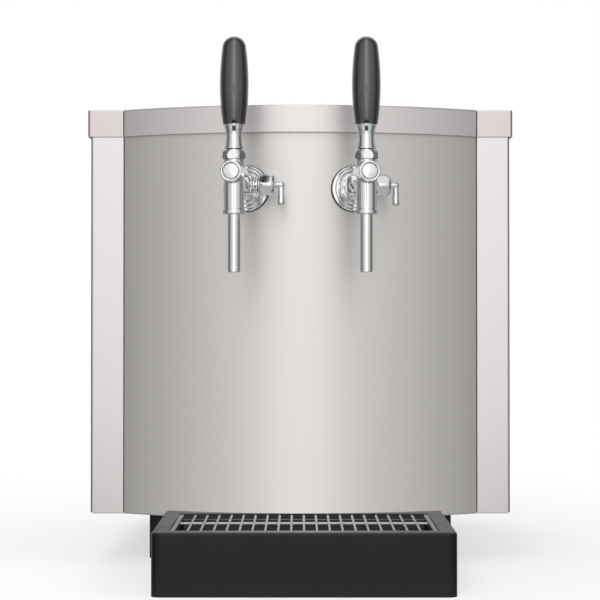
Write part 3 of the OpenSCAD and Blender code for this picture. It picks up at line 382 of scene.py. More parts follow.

# %% [markdown]
# ## Plastics, paint and rubber
# The handles are glossy black, the tray a fine-grained black moulding whose edges and top faces catch
# the light, painted in as a paler colour there; the plinth is painted. Foam and liner inside are pale.
# Each has its own grain and its own sheen.

# %% Dull finishes
def moulded(name, colour, worn_and_sheen_colour, rough, grain, depth, sheen=0.5, painted_top_sheen=0.0):
    material, tree, shader = finish(name, colour, rough[0], 0.0, {"Specular IOR Level": sheen})
    wear_and_sheen = effect(tree, worn_and_lit_edges)
    # Faces that look up are also mixed towards the paler colour: a painted sheen on top faces, not dust or
    # wear.
    if painted_top_sheen:
        facing = add(tree, "ShaderNodeNewGeometry").outputs["Normal"]
        upward = add(tree, "ShaderNodeSeparateXYZ", {"Vector": facing}).outputs["Z"]
        flat = add(tree, "ShaderNodeMapRange", {
            "Value": upward, "From Min": 0.6, "From Max": 0.95, "To Max": painted_top_sheen,
        })
        wear_and_sheen = add(tree, "ShaderNodeMath", {0: wear_and_sheen, 1: flat.outputs[0]}, operation="MAXIMUM").outputs[0]
    vary_colour(tree, shader, wear_and_sheen, colour, worn_and_sheen_colour)
    vary_roughness(tree, shader, effect(tree, hand_marks, {"Size": 24.0}), *rough)
    bump(tree, shader, effect(tree, moulded_grain, {"Size": grain}), depth, 0.5)
    return material


handle_black = moulded(
    "handle_black", (0.012, 0.011, 0.013), (0.03, 0.03, 0.032), (0.09, 0.16), 2600.0, 0.000002, 1.0)
handle_shader = handle_black.node_tree.nodes["Principled BSDF"]
handle_shader.inputs["Coat Weight"].default_value = 1.0
handle_shader.inputs["Coat Roughness"].default_value = 0.06
# The tray's paler edges and lighter top faces are painted highlight and painted sheen.
tray_black = moulded(
    "tray_black", (0.004, 0.004, 0.0045), (0.10, 0.10, 0.105), (0.28, 0.38), 1500.0, 0.00003, 0.3, 0.55)
plinth_black = moulded(
    "plinth_black", (0.006, 0.006, 0.006), (0.03, 0.03, 0.03), (0.5, 0.6), 1800.0, 0.00002, 0.2)
rubber = moulded("rubber", (0.012, 0.012, 0.012), (0.03, 0.03, 0.03), (0.6, 0.75), 1500.0, 0.00002, 0.3)
foam = moulded("foam", (0.86, 0.85, 0.81), (0.9, 0.89, 0.86), (0.8, 0.9), 500.0, 0.0002, 0.2)
liner = moulded("liner", (0.80, 0.81, 0.80), (0.86, 0.87, 0.86), (0.3, 0.42), 900.0, 0.00003)
machine_black = moulded(
    "machine_black", (0.02, 0.02, 0.022), (0.07, 0.07, 0.07), (0.35, 0.5), 1200.0, 0.00003)
plastic_dark = moulded(
    "plastic_dark", (0.03, 0.03, 0.033), (0.07, 0.07, 0.075), (0.42, 0.55), 1400.0, 0.00003)
plastic_light = moulded(
    "plastic_light", (0.78, 0.77, 0.73), (0.85, 0.84, 0.81), (0.4, 0.52), 1400.0, 0.00003)
rocker_red = moulded("rocker_red", (0.42, 0.02, 0.02), (0.55, 0.06, 0.05), (0.2, 0.3), 1800.0, 0.00001)
print("finishes:", len(bpy.data.materials))

# %% [markdown]
# ## From bmesh to piece
# Three short helpers pick the points or edges out of an operator's result and round them with a bevel.
# Every new piece goes the same way: its doubles are merged, its faces turned outwards, it is shaded
# smooth but keeps its real edges, and it is tied to the CAD body that it rides on, while the CAD node
# that it stands for is hidden. Its place is in its mesh, so its object stays at the origin.

# %% Piece helper
def only_verts(geom):
    return [v for v in geom if isinstance(v, bmesh.types.BMVert)]


def only_edges(geom):
    return [e for e in geom if isinstance(e, bmesh.types.BMEdge)]


def rounded(bm, geom, offset, segments, affect="EDGES"):
    bmesh.ops.bevel(bm, geom=geom, offset=offset, segments=segments, profile=0.5, affect=affect, material=-1)


def make_piece(name, bm, body, nodes, material, sharp=32, turn_out=True):
    bmesh.ops.remove_doubles(bm, verts=bm.verts, dist=0.000002)
    if turn_out:
        bmesh.ops.recalc_face_normals(bm, faces=bm.faces)
    mesh = bpy.data.meshes.new(name)
    bm.to_mesh(mesh)
    bm.free()
    mesh.shade_smooth()
    mesh.set_sharp_from_angle(angle=math.radians(sharp))
    mesh.materials.append(material)
    piece = bpy.data.objects.new(name, mesh)
    scene.collection.objects.link(piece)
    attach(piece, body)
    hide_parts(*nodes)
    even_shading(piece)
    print(name, "faces:", len(mesh.polygons))
    return piece


def even_shading(piece):
    old = piece.modifiers.get("even_shading")
    if old:
        piece.modifiers.remove(old)
    even = piece.modifiers.new("even_shading", "WEIGHTED_NORMAL")
    even.keep_sharp = True
    even.weight = 100


def sheet_walls(piece, thickness, soften=0.00035):
    wall = piece.modifiers.new("wall", "SOLIDIFY")
    wall.thickness = thickness
    wall.offset = -1
    wall.use_even_offset = True
    edge = piece.modifiers.new("edge", "BEVEL")
    edge.width = soften
    edge.segments = 2
    edge.limit_method = "ANGLE"
    edge.angle_limit = math.radians(50)
    even_shading(piece)


def brush_map(bm, pick):
    layer = bm.loops.layers.uv.new("brush")
    for face in bm.faces:
        for loop in face.loops:
            loop[layer].uv = pick(loop.vert.co)


def outward_from(bm, centre):
    bmesh.ops.recalc_face_normals(bm, faces=bm.faces)
    probe = max(bm.faces, key=lambda f: f.calc_area())
    if probe.normal.dot(probe.calc_center_median() - Vector(centre)) < 0:
        bmesh.ops.reverse_faces(bm, faces=bm.faces)

# %% [markdown]
# ## Bowed front panel
# The real panel is one sheet, rolled to a shallow bow and folded back at both sides. Spinning one
# upright edge about the bow's axis rolls it; the two end edges are pulled back for the folds, and a
# bevel gives each fold its radius. The tap holes stay hidden behind the gaskets.

# %% Front panel
sheet_t = 0.0012
corner_y = -0.120
bow = 0.046
fold_back = 0.014
arc_steps = 72
panel_lo, panel_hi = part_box("front_panel")
panel_half = panel_hi.x
bow_r = (panel_half ** 2 + bow ** 2) / (2 * bow)
bow_cy = corner_y - bow + bow_r


def rolled(bm, radius, half, z0, z1):
    start_y = bow_cy - math.sqrt(radius ** 2 - half ** 2)
    ends = [bm.verts.new((-half, start_y, z)) for z in (z0, z1)]
    first = bm.edges.new(ends)
    made = bmesh.ops.spin(bm, geom=ends + [first], cent=(0, bow_cy, 0), axis=(0, 0, 1),
                          angle=2 * math.asin(half / radius), steps=arc_steps)
    last = only_edges(made["geom_last"])[0]
    return first, last


bm = bmesh.new()
folds = rolled(bm, bow_r, panel_half, panel_lo.z, panel_hi.z)
for edge in folds:
    pulled = bmesh.ops.extrude_edge_only(bm, edges=[edge])["geom"]
    bmesh.ops.translate(bm, vec=(0, fold_back, 0), verts=only_verts(pulled))
rounded(bm, list(folds), 0.0007, 3)
outward_from(bm, (0, 0.3, 0.26))
brush_map(bm, lambda p: (p.z, p.x))
front_panel = make_piece("front_panel_sheet", bm, "cabinet", ["front_panel"], front_steel,
                         60, False)
sheet_walls(front_panel, sheet_t)

# %% [markdown]
# ## Side covers with their corner columns
# Each side cover is a folded sheet: a short return, the flat column face, the side wall and a rear
# fold. A path of five points gives the folds, an extrusion the height, and a bevel the bend radius.

# %% Side covers
bend_r, tight_r = 0.003, 0.001


def folded(bm, path, z0, z1, radius, tight):
    feet = [bm.verts.new((x, y, z0)) for x, y in path]
    runs = [bm.edges.new(pair) for pair in zip(feet, feet[1:])]
    raised = bmesh.ops.extrude_edge_only(bm, edges=runs)["geom"]
    bmesh.ops.translate(bm, vec=(0, 0, z1 - z0), verts=only_verts(raised))
    corners = sorted((e for e in bm.edges if len(e.link_faces) == 2), key=lambda e: abs(e.verts[0].co.x))
    half = len(corners) // 2
    for some, size in ((corners[:half], tight), (corners[half:], radius)):
        rounded(bm, some, size, 6)


def side_sheet(name, side, node, path, z0, z1, body, material):
    bm = bmesh.new()
    folded(bm, [(side * x, y) for x, y in path], z0, z1, bend_r, tight_r)
    outward_from(bm, (side * 0.15, 0.09, (z0 + z1) / 2))
    brush_map(bm, lambda p: (p.z, p.x - p.y))
    made = make_piece(name, bm, body, [node], material, 60, False)
    sheet_walls(made, sheet_t)


cover_lo, cover_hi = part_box("right_side_cover")
cover_path = [
    (cover_lo.x, corner_y + fold_back), (cover_lo.x, corner_y), (cover_hi.x, corner_y),
    (cover_hi.x, cover_hi.y), (cover_lo.x, cover_hi.y),
]
for side, word in ((-1, "left"), (1, "right")):
    side_sheet(word + "_side_sheet", side, word + "_side_cover", cover_path, cover_lo.z, cover_hi.z,
               "cabinet", column_steel)

# %% [markdown]
# ## Lid
# The lid's skirt repeats the plan of the cabinet a little larger: a rolled band in front, a folded rail
# at each side and a top plate whose edge is rounded. The plate's outline is a spun arc joined to four
# corners, filled and given its thickness by an extrusion.

# %% Lid band and rails
band_lo, band_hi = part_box("lid_front_band")
lid_over = 0.003
bm = bmesh.new()
rolled(bm, bow_r + lid_over, panel_half, band_lo.z, band_hi.z)
outward_from(bm, (0, 0.3, 0.48))
brush_map(bm, lambda p: (p.z, p.x))
band = make_piece("lid_band_sheet", bm, "lid", ["lid_front_band"], band_steel, 60, False)
sheet_walls(band, sheet_t)
rail_lo, rail_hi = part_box("right_lid_rail")
rail_path = [(rail_lo.x, rail_lo.y), (rail_hi.x, rail_lo.y), (rail_hi.x, rail_hi.y), (rail_lo.x, rail_hi.y)]
for side, word in ((-1, "left"), (1, "right")):
    side_sheet(word + "_lid_sheet", side, word + "_lid_rail", rail_path, rail_lo.z, rail_hi.z,
               "lid", shaded_rail_steel)

# %% Lid top
lid_lo, lid_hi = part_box("lid_top")


def lid_outline(bm, z):
    radius = bow_r + lid_over
    start = bm.verts.new((-panel_half, bow_cy - math.sqrt(radius ** 2 - panel_half ** 2), z))
    bmesh.ops.spin(bm, geom=[start], cent=(0, bow_cy, 0), axis=(0, 0, 1),
                   angle=2 * math.asin(panel_half / radius), steps=arc_steps)
    row = sorted(bm.verts, key=lambda v: v.co.x)
    front = corner_y - lid_over
    rest = [(panel_half, front), (lid_hi.x, front), (lid_hi.x, lid_hi.y), (lid_lo.x, lid_hi.y),
            (lid_lo.x, front), (-panel_half, front)]
    row += [bm.verts.new((x, y, z)) for x, y in rest]
    return bm.faces.new(row)


bm = bmesh.new()
plate = lid_outline(bm, lid_hi.z - sheet_t)
corners = [v for v in plate.verts if abs(abs(v.co.x) - lid_hi.x) < 1e-6]
rounded(bm, corners, bend_r, 6, "VERTICES")
lifted = bmesh.ops.extrude_face_region(bm, geom=bm.faces[:])["geom"]
bmesh.ops.translate(bm, vec=(0, 0, sheet_t), verts=only_verts(lifted))
rim = [e for e in bm.edges if all(abs(v.co.z - lid_hi.z) < 1e-6 for v in e.verts)]
rounded(bm, rim, 0.0009, 3)
skirt = bmesh.ops.create_cube(bm, size=1)["verts"]
skirt_h = lid_hi.z - lid_lo.z - sheet_t / 2
bmesh.ops.scale(bm, vec=(2 * panel_half, sheet_t, skirt_h), verts=skirt)
bmesh.ops.translate(bm, vec=(0, lid_hi.y - sheet_t / 2, lid_lo.z + skirt_h / 2), verts=skirt)
brush_map(bm, lambda p: (p.y + p.z, p.x))
make_piece("lid_top_sheet", bm, "lid", ["lid_top"], lid_steel, 40)

# %% [markdown]
# ## Drip tray
# The tray is one black moulding: rounded outside, hollowed where the rods lie, with a ledge that
# carries the wire grille. Its rear follows the bow of the cabinet. The outline is filled and raised;
# then the top is opened, and rectangles with round corners lead down over the ledge to the floor.

# %% Drip tray
tray_lo, tray_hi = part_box("drip_tray")
tray_x = (tray_lo.x + tray_hi.x) / 2
tray_half = (tray_hi.x - tray_lo.x) / 2
tray_h = tray_hi.z
rim_w, ledge_w, recess_h, tray_floor, tray_gap = 0.0165, 0.004, 0.006, 0.005, 0.0022
well_half = tray_half - rim_w
well_y0 = tray_lo.y + rim_w
well_y1 = corner_y - bow - tray_gap - ledge_w


def tray_outline(bm):
    radius = bow_r + tray_gap
    start = bm.verts.new((-tray_half, bow_cy - math.sqrt(radius ** 2 - tray_half ** 2), 0))
    bmesh.ops.spin(bm, geom=[start], cent=(0, bow_cy, 0), axis=(0, 0, 1),
                   angle=2 * math.asin(tray_half / radius), steps=40)
    row = sorted(bm.verts, key=lambda v: v.co.x)
    row += [bm.verts.new((x, tray_lo.y, 0)) for x in (tray_half, -tray_half)]
    bm.faces.new(row)
    return row


def ring_of(bm, half, y0, y1, z, radius):
    known = set(bm.edges)
    corners = [bm.verts.new((x, y, z)) for x, y in ((-half, y0), (half, y0), (half, y1), (-half, y1))]
    for pair in zip(corners, corners[1:] + corners[:1]):
        bm.edges.new(pair)
    rounded(bm, corners, radius, 4, "VERTICES")
    return [e for e in bm.edges if e not in known]


def step_in(bm, loop, by, down, half, y0, y1):
    made = bmesh.ops.extrude_edge_only(bm, edges=loop)["geom"]
    verts = only_verts(made)
    middle = Vector((0, (y0 + y1) / 2, 0))
    bmesh.ops.translate(bm, vec=-middle, verts=verts)
    bmesh.ops.scale(bm, vec=((half - by) / half, ((y1 - y0) / 2 - by) / ((y1 - y0) / 2), 1), verts=verts)
    bmesh.ops.translate(bm, vec=middle - Vector((0, 0, down)), verts=verts)
    return only_edges(made)


bm = bmesh.new()
row = tray_outline(bm)
rounded(bm, row[-2:], 0.009, 8, "VERTICES")
rear = [v for v in bm.verts if abs(abs(v.co.x) - tray_half) < 1e-6 and v.co.y > -0.2]
rounded(bm, rear, 0.006, 5, "VERTICES")
raised = bmesh.ops.extrude_face_region(bm, geom=bm.faces[:])["geom"]
bmesh.ops.translate(bm, vec=(0, 0, tray_h), verts=only_verts(raised))
top = [f for f in raised if isinstance(f, bmesh.types.BMFace)][0]
outer = list(top.edges)
bm.faces.remove(top)
well = ring_of(bm, well_half, well_y0, well_y1, tray_h, 0.0012)
bmesh.ops.triangle_fill(bm, use_beauty=True, edges=outer + well)
ledge = step_in(bm, well, 0.0, recess_h, well_half, well_y0, well_y1)
inner = step_in(bm, ledge, ledge_w, 0.0, well_half, well_y0, well_y1)
lower = step_in(bm, inner, 0.0015, tray_h - recess_h - tray_floor, well_half - ledge_w,
                well_y0 + ledge_w, well_y1 - ledge_w)
bmesh.ops.edgeloop_fill(bm, edges=lower)
rounded(bm, outer, 0.0028, 4)
soft = [e for e in well + ledge + inner if e.is_valid]
rounded(bm, soft, 0.0007, 2)
bmesh.ops.translate(bm, vec=(tray_x, 0, 0), verts=bm.verts)
tray_shell = make_piece("drip_tray_shell", bm, "drip_tray", ["drip_tray"], tray_black, 40)
tray_shell.visible_glossy = False

# %% [markdown]
# ## Wire grille
# Nineteen bright rods lie on two cross wires between two flat end bars, as on an oven rack. Every
# rod is a short twelve-sided cylinder with rounded ends, laid in place by one matrix.

# %% Grille
grid_lo, grid_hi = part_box("tray_grille")
rod_d, bar_w, rod_count = 0.0024, 0.004, 19
rod_z = grid_hi.z - rod_d / 2


def rod(bm, start, end, radius, sides=12):
    run = Vector(end) - Vector(start)
    middle = Matrix.Translation((Vector(start) + Vector(end)) / 2)
    spot = middle @ run.to_track_quat("Z", "Y").to_matrix().to_4x4()
    made = bmesh.ops.create_cone(bm, cap_ends=True, segments=sides, radius1=radius, radius2=radius,
                                 depth=run.length, matrix=spot)["verts"]
    rims = {e for v in made for e in v.link_edges if len(e.link_faces) == 2
            and any(len(f.verts) > 4 for f in e.link_faces)}
    rounded(bm, list(rims), radius * 0.55, 2)


bm = bmesh.new()
pitch = (grid_hi.x - grid_lo.x - 2 * bar_w) / (rod_count + 1)
for i in range(rod_count):
    x = grid_lo.x + bar_w + (i + 1) * pitch
    rod(bm, (x, grid_lo.y + rod_d / 2, rod_z), (x, grid_hi.y - rod_d / 2, rod_z), rod_d / 2)
span = grid_hi.y - grid_lo.y
cross_z, cross_in = rod_z - rod_d * 0.8, 0.0005
for y in (grid_lo.y + rod_d / 2, grid_lo.y + span * 0.65):
    rod(bm, (grid_lo.x + cross_in, y, cross_z), (grid_hi.x - cross_in, y, cross_z), rod_d / 2)
for x in (grid_lo.x + bar_w / 2, grid_hi.x - bar_w / 2):
    bar = bmesh.ops.create_cube(bm, size=1)["verts"]
    bmesh.ops.scale(bm, vec=(bar_w, span, grid_hi.z - grid_lo.z), verts=bar)
    bmesh.ops.translate(bm, vec=(x, (grid_lo.y + grid_hi.y) / 2, (grid_lo.z + grid_hi.z) / 2), verts=bar)
    ridges = list({e for v in bar for e in v.link_edges})
    rounded(bm, ridges, 0.0006, 2)
rods = make_piece("grille_rods", bm, "tray_grille", ["tray_grille"], grille_wire, 50)
rods.visible_glossy = False

# %% [markdown]
# ## Turned pieces of the taps
# Most of a tap is made on a lathe. A few points give half an outline, a vertex bevel rounds the corners
# that the turner would round, and a full spin turns the piece. Each tap has its own frame: the origin
# on the panel, minus Y outwards, Z up. One matrix per side brings the pieces to their taps.

# %% Lathe helpers
tap_x, shank_z = 0.057, 0.405
tap_reach, valve_up, ball_up = 0.075, 0.0105, 0.0272
comp_out, comp_up = 0.023, 0.002
tap_yaw = math.asin(tap_x / bow_r)
tap_y = bow_cy - math.sqrt(bow_r ** 2 - tap_x ** 2)
tap_places = {
    side: Matrix.Translation((k * tap_x, tap_y, shank_z)) @ Matrix.Rotation(k * tap_yaw, 4, "Z")
    for side, k in (("left", -1), ("right", 1))
}
OUTWARD = Matrix.Rotation(math.radians(90), 4, "X")
SIDEWAYS = Matrix.Rotation(math.radians(90), 4, "Y")


def turned(bm, outline, soften=None, steps=72, place=None):
    old = set(bm.verts)
    dots = [bm.verts.new((r, 0, h)) for r, h in outline]
    runs = [bm.edges.new(pair) for pair in zip(dots, dots[1:])]
    for size in sorted(set((soften or {}).values()), reverse=True):
        some = [dots[i] for i, s in soften.items() if s == size]
        rounded(bm, some, size, 4, "VERTICES")
    verts = [v for v in bm.verts if v not in old]
    edges = list({e for v in verts for e in v.link_edges})
    bmesh.ops.spin(bm, geom=verts + edges, cent=(0, 0, 0), axis=(0, 0, 1), angle=2 * math.pi,
                   steps=steps, use_merge=True)
    made = [v for v in bm.verts if v not in old]
    bmesh.ops.remove_doubles(bm, verts=made, dist=0.000005)
    made = [v for v in bm.verts if v not in old]
    if place is not None:
        bmesh.ops.transform(bm, matrix=place, verts=made)
    return made


def for_both_taps(bm):
    first = bm.verts[:]
    copy = bmesh.ops.duplicate(bm, geom=bm.verts[:] + bm.edges[:] + bm.faces[:])["geom"]
    second = only_verts(copy)
    bmesh.ops.transform(bm, matrix=tap_places["left"], verts=first)
    bmesh.ops.transform(bm, matrix=tap_places["right"], verts=second)


def tap_piece(name, build, body, nodes, material, sharp=32):
    bm = bmesh.new()
    build(bm)
    for_both_taps(bm)
    return make_piece(name, bm, body, nodes, material, sharp)


def one_tap_pieces(name, build, body, node, material, sharp=32):
    for side, place in tap_places.items():
        bm = bmesh.new()
        build(bm)
        bmesh.ops.transform(bm, matrix=place, verts=bm.verts)
        make_piece(side + "_" + name, bm, body.format(side), [side + "_" + node], material, sharp)

# %% [markdown]
# ## Gasket and stepped flange
# A soft black ring lies between the panel and the chrome flange, and bulges a little under it. The
# flange steps down in three rings; each edge is rounded so that it draws a bright line.

# %% Gasket and flange
gasket_t, flange_r, hole_r = 0.002, 0.024, 0.0092
tap_piece("tap_gaskets", lambda bm: turned(
    bm, [(hole_r, -0.0008), (flange_r + 0.0007, -0.0008), (flange_r + 0.0007, gasket_t), (hole_r, gasket_t),
         (hole_r, -0.0008)], {1: 0.0006, 2: 0.0009}, place=OUTWARD),
    "cabinet", ["gaskets"], rubber)
tap_piece("tap_flanges", lambda bm: turned(
    bm, [(hole_r, gasket_t), (flange_r, gasket_t), (flange_r, 0.0045), (0.0205, 0.0045), (0.0205, 0.007),
         (0.0165, 0.007), (0.0165, 0.010), (hole_r, 0.010), (hole_r, gasket_t)],
    {1: 0.0004, 2: 0.0011, 3: 0.0005, 4: 0.001, 5: 0.0005, 6: 0.0012}, place=OUTWARD),
    "cabinet", ["flanges"], chrome)

# %% [markdown]
# ## Cast tap bodies
# The body is a casting: cylinders that grow into each other with soft blends. Joining the turned forms
# with a fine voxel remesh makes one skin, and a few rounds of smoothing give the blends that polishing
# leaves. The recess round the spout and the seat of the front plug are in the outlines. At the end two
# plain cylinders are cut out of the skin, the bore for the lever's tang and the chamber of the valve.

# %% Tap bodies
def fuse(piece, voxel, rounds, cutters=()):
    piece.modifiers.clear()
    skin = piece.modifiers.new("skin", "REMESH")
    skin.mode = "VOXEL"
    skin.voxel_size = voxel
    skin.use_smooth_shade = True
    polish = piece.modifiers.new("polish", "SMOOTH")
    polish.factor = 0.5
    polish.iterations = rounds
    for cutter in cutters:
        hollow = piece.modifiers.new("hollow", "BOOLEAN")
        hollow.operation = "DIFFERENCE"
        hollow.solver = "EXACT"
        hollow.object = cutter
    done = bpy.data.meshes.new_from_object(piece.evaluated_get(bpy.context.evaluated_depsgraph_get()))
    piece.modifiers.clear()
    piece.data = done
    print(piece.name, "fused faces:", len(done.polygons))


head_r, head_top, lip_r, holder_drop, recess_r, recess_top = 0.0104, 0.0238, 0.0115, 0.032, 0.0088, -0.025
boss_r, boss_f, seat_r, seat_f = 0.0109, 0.0952, 0.0084, 0.0915
coupling_f, neck_r, coupling_r = 0.0102, 0.0115, 0.013
barrel_f, barrel_r = tap_reach - 0.016, 0.0096
housing_r = comp_out - 0.010 - 0.0015
barrel_tilt = math.atan2(valve_up - comp_up, barrel_f - comp_out)
barrel_len = math.hypot(barrel_f - comp_out, valve_up - comp_up)
AT_COMP = Matrix.Translation((0, -comp_out, comp_up))
AT_HEAD = Matrix.Translation((0, -tap_reach, 0))
AT_VALVE = Matrix.Translation((0, 0, valve_up))


def body_forms(bm):
    turned(bm, [(0, head_top), (head_r, head_top), (head_r, -0.0262), (lip_r, -0.0278),
                (lip_r, -holder_drop), (recess_r, -holder_drop), (recess_r, recess_top), (0, recess_top)],
           {1: 0.0006, 2: 0.001, 4: 0.0004, 5: 0.0004}, place=AT_HEAD)
    turned(bm, [(0, barrel_f - 0.005), (boss_r, barrel_f - 0.005), (boss_r, boss_f), (seat_r, boss_f),
                (seat_r, seat_f), (0, seat_f)], {2: 0.0008, 3: 0.0004}, place=AT_VALVE @ OUTWARD)
    turned(bm, [(0, 0), (barrel_r, 0), (barrel_r, barrel_len), (0, barrel_len)],
           place=AT_COMP @ Matrix.Rotation(-barrel_tilt, 4, "X") @ OUTWARD)
    turned(bm, [(0, -housing_r - 0.001), (housing_r, -housing_r - 0.001), (housing_r, 0.012), (0, 0.012)],
           {1: 0.006, 2: 0.002}, place=AT_COMP @ SIDEWAYS)
    turned(bm, [(0, coupling_f), (neck_r, coupling_f), (neck_r, comp_out), (0, comp_out)], place=OUTWARD)
    turned(bm, [(0, coupling_f), (coupling_r, coupling_f), (coupling_r, 0.016), (0, 0.016)],
           {1: 0.0008, 2: 0.0008}, place=OUTWARD)
    turned(bm, [(0, 0), (0.0087, 0), (0.0087, 0.0165), (0, 0.0165)], {2: 0.0004}, place=AT_COMP @ SIDEWAYS)


def plain_cylinder(radius, low, high, place):
    bm = bmesh.new()
    bmesh.ops.create_cone(bm, cap_ends=True, segments=48, radius1=radius, radius2=radius, depth=high - low,
                          matrix=place @ Matrix.Translation((0, 0, (low + high) / 2)))
    mesh = bpy.data.meshes.new("cutter")
    bm.to_mesh(mesh)
    bm.free()
    made = bpy.data.objects.new("cutter", mesh)
    scene.collection.objects.link(made)
    return made


one_tap_pieces("tap_casting", body_forms, "cabinet", "tap_body", chrome)
for side, place in tap_places.items():
    bore = plain_cylinder(0.0084, valve_up, 0.030, place @ AT_HEAD)
    chamber = plain_cylinder(0.0065, 0.056, 0.089, place @ AT_VALVE @ OUTWARD)
    casting = bpy.data.objects[side + "_tap_casting"]
    fuse(casting, 0.00048, 7, (bore, chamber))
    casting.data.set_sharp_from_angle(angle=math.radians(50))
    bpy.data.objects.remove(bore)
    bpy.data.objects.remove(chamber)

# %% [markdown]
# ## Plug, spout and collar
# The front plug is a faintly domed disc in a groove. The spout is a plain tube with a rounded end. The
# collar under the handle is a ball-shaped nut: six planes cut its flats from a turned ball.

# %% Plug, spout and collar
tap_piece("tap_plugs", lambda bm: turned(
    bm, [(0, 0.0917), (0.0076, 0.0917), (0.0076, 0.0949), (0.004, 0.0953), (0, 0.0954)], {2: 0.0005},
    place=AT_VALVE @ OUTWARD), "cabinet", ["front_plugs"], chrome)
one_tap_pieces("spout_tube", lambda bm: turned(
    bm, [(0.0056, -0.0905), (0.0066, -0.0905), (0.0066, -0.0085), (0.0056, -0.0085), (0.0056, -0.0905)],
    {1: 0.0004}, place=AT_HEAD), "cabinet", "spout", chrome)


def cut_flats(bm, count, reach, axis, centre):
    for i in range(count):
        away = Matrix.Rotation(2 * math.pi * i / count, 3, axis) @ (
            Vector((0, 0, 1)) if axis == "X" else Vector((0, -1, 0)))
        cut = bmesh.ops.bisect_plane(
            bm, geom=bm.verts[:] + bm.edges[:] + bm.faces[:], dist=0.000001,
            plane_co=Vector(centre) + away * reach, plane_no=away, clear_outer=True)
        bmesh.ops.edgeloop_fill(bm, edges=only_edges(cut["geom_cut"]))


collar_r, collar_flat, ball_seat_r = 0.012, 0.0109, 0.0081


def collar(bm):
    slopes = [math.radians(a) for a in range(56, 107, 5)]
    skin = [(collar_r * math.sin(a), collar_r * math.cos(a)) for a in slopes]
    seat = [(ball_seat_r, skin[-1][1]), (ball_seat_r, 0), (0.0079, 0.0019), (0.0069, 0.0044)]
    turned(bm, seat + skin + seat[:1], {4: 0.0004}, steps=96,
           place=Matrix.Translation((0, -tap_reach, ball_up)))
    cut_flats(bm, 6, collar_flat, "Z", (0, -tap_reach, ball_up))


tap_piece("tap_collars", collar, "cabinet", ["bonnet_nuts"], chrome, 12)

# %% [markdown]
# ## Ferrule and handle
# A waisted chrome ferrule carries the black handle and rides on the ball inside the collar. Both are
# turned; their long curves are arcs, so the outline is read off circles at close steps.

# %% Ferrule and handle
def arc(centre_r, radius, middle, z0, z1, count, hollow=False):
    heights = [z0 + (z1 - z0) * i / count for i in range(count + 1)]
    swing = -1 if hollow else 1
    return [(centre_r + swing * math.sqrt(max(radius ** 2 - (z - middle) ** 2, 0)), z) for z in heights]


seam_up = math.sqrt(0.01235 ** 2 - 0.0099 ** 2)
ferrule_h, flare_r, waist_r, ferrule_lip_r, stem_r = 0.0246, 0.0104, 0.0081, 0.0106, 0.0036
waist_swing = ((flare_r - waist_r) ** 2 + (ferrule_h / 2) ** 2) / (2 * (flare_r - waist_r))
AT_FERRULE = Matrix.Translation((0, -tap_reach, ball_up + seam_up))
AT_HANDLE = Matrix.Translation((0, -tap_reach, ball_up + seam_up + ferrule_h))


def ferrule(bm):
    side = arc(waist_r + waist_swing, waist_swing, ferrule_h / 2, 0.0006, ferrule_h - 0.0011, 22, True)
    lip = [(ferrule_lip_r, ferrule_h - 0.0008), (ferrule_lip_r, ferrule_h - 0.0001), (stem_r, ferrule_h)]
    hollow = [(stem_r, 0.0045), (0.0050, 0.0039), (0.0066, 0.0030), (0.0083, 0.0017), (0.0095, 0.0002)]
    turned(bm, hollow[-1:] + [(0.0102, 0.0)] + side + lip + hollow, place=AT_FERRULE)


one_tap_pieces("ferrule_turned", ferrule, "{}_handle", "ferrule", chrome, 40)

handle_h, handle_r, foot_r, crown_r = 0.090, 0.0147, 0.0113, 0.0119
belly_z, crown_z = handle_h * 0.45, handle_h - crown_r * 0.8


def handle(bm):
    low = ((handle_r - foot_r) ** 2 + belly_z ** 2) / (2 * (handle_r - foot_r))
    high = ((handle_r - crown_r) ** 2 + (crown_z - belly_z) ** 2) / (2 * (handle_r - crown_r))
    dome = (crown_r ** 2 + (handle_h - crown_z) ** 2) / (2 * (handle_h - crown_z))
    outline = [(stem_r, 0.0002), (foot_r - 0.0006, 0.0)]
    outline += arc(handle_r - low, low, belly_z, 0.0005, belly_z, 14)
    outline += arc(handle_r - high, high, belly_z, belly_z, crown_z, 14)[1:]
    outline += arc(0, dome, handle_h - dome, crown_z, handle_h, 14)[1:]
    turned(bm, outline, place=AT_HANDLE)


one_tap_pieces("handle_grip", handle, "{}_handle", "handle", handle_black, 50)

# %% [markdown]
# ## Flow compensators
# On the side of each tap a small lever sets the flow. Its bonnet is a rounded six-sided cap; the lever
# is a bent pin with a ball end, fused like the casting so that hub, elbow and pin are one.

# %% Compensators
comp_x, comp_len, comp_r, comp_flat, comp_drop = 0.017, 0.0175, 0.0117, 0.0108, 0.0185
hub_x, hub_r, pin_r, spindle_r = comp_x + comp_len + 0.006, 0.00375, 0.0029, 0.0034


def bonnet(bm):
    outline = [(0.0035, 0), (0.0092, 0), (0.0113, 0.0026), (comp_r, 0.0058), (comp_r, 0.0120),
               (0.0112, 0.0150), (0.0088, comp_len), (0.0035, comp_len), (0.0035, 0)]
    turned(bm, outline, {2: 0.0014, 3: 0.0016, 4: 0.0016, 5: 0.0016, 6: 0.0008}, steps=96,
           place=AT_COMP @ Matrix.Translation((comp_x, 0, 0)) @ SIDEWAYS)
    cut_flats(bm, 6, comp_flat, "X", (comp_x, -comp_out, comp_up))


tap_piece("compensator_caps", bonnet, "cabinet", ["compensator_bonnets"], chrome, 14)


def ball(radius, count=16):
    turns = [math.radians(180.0 * i / count) for i in range(count + 1)]
    return [(radius * math.sin(a), radius * math.cos(a)) for a in turns]


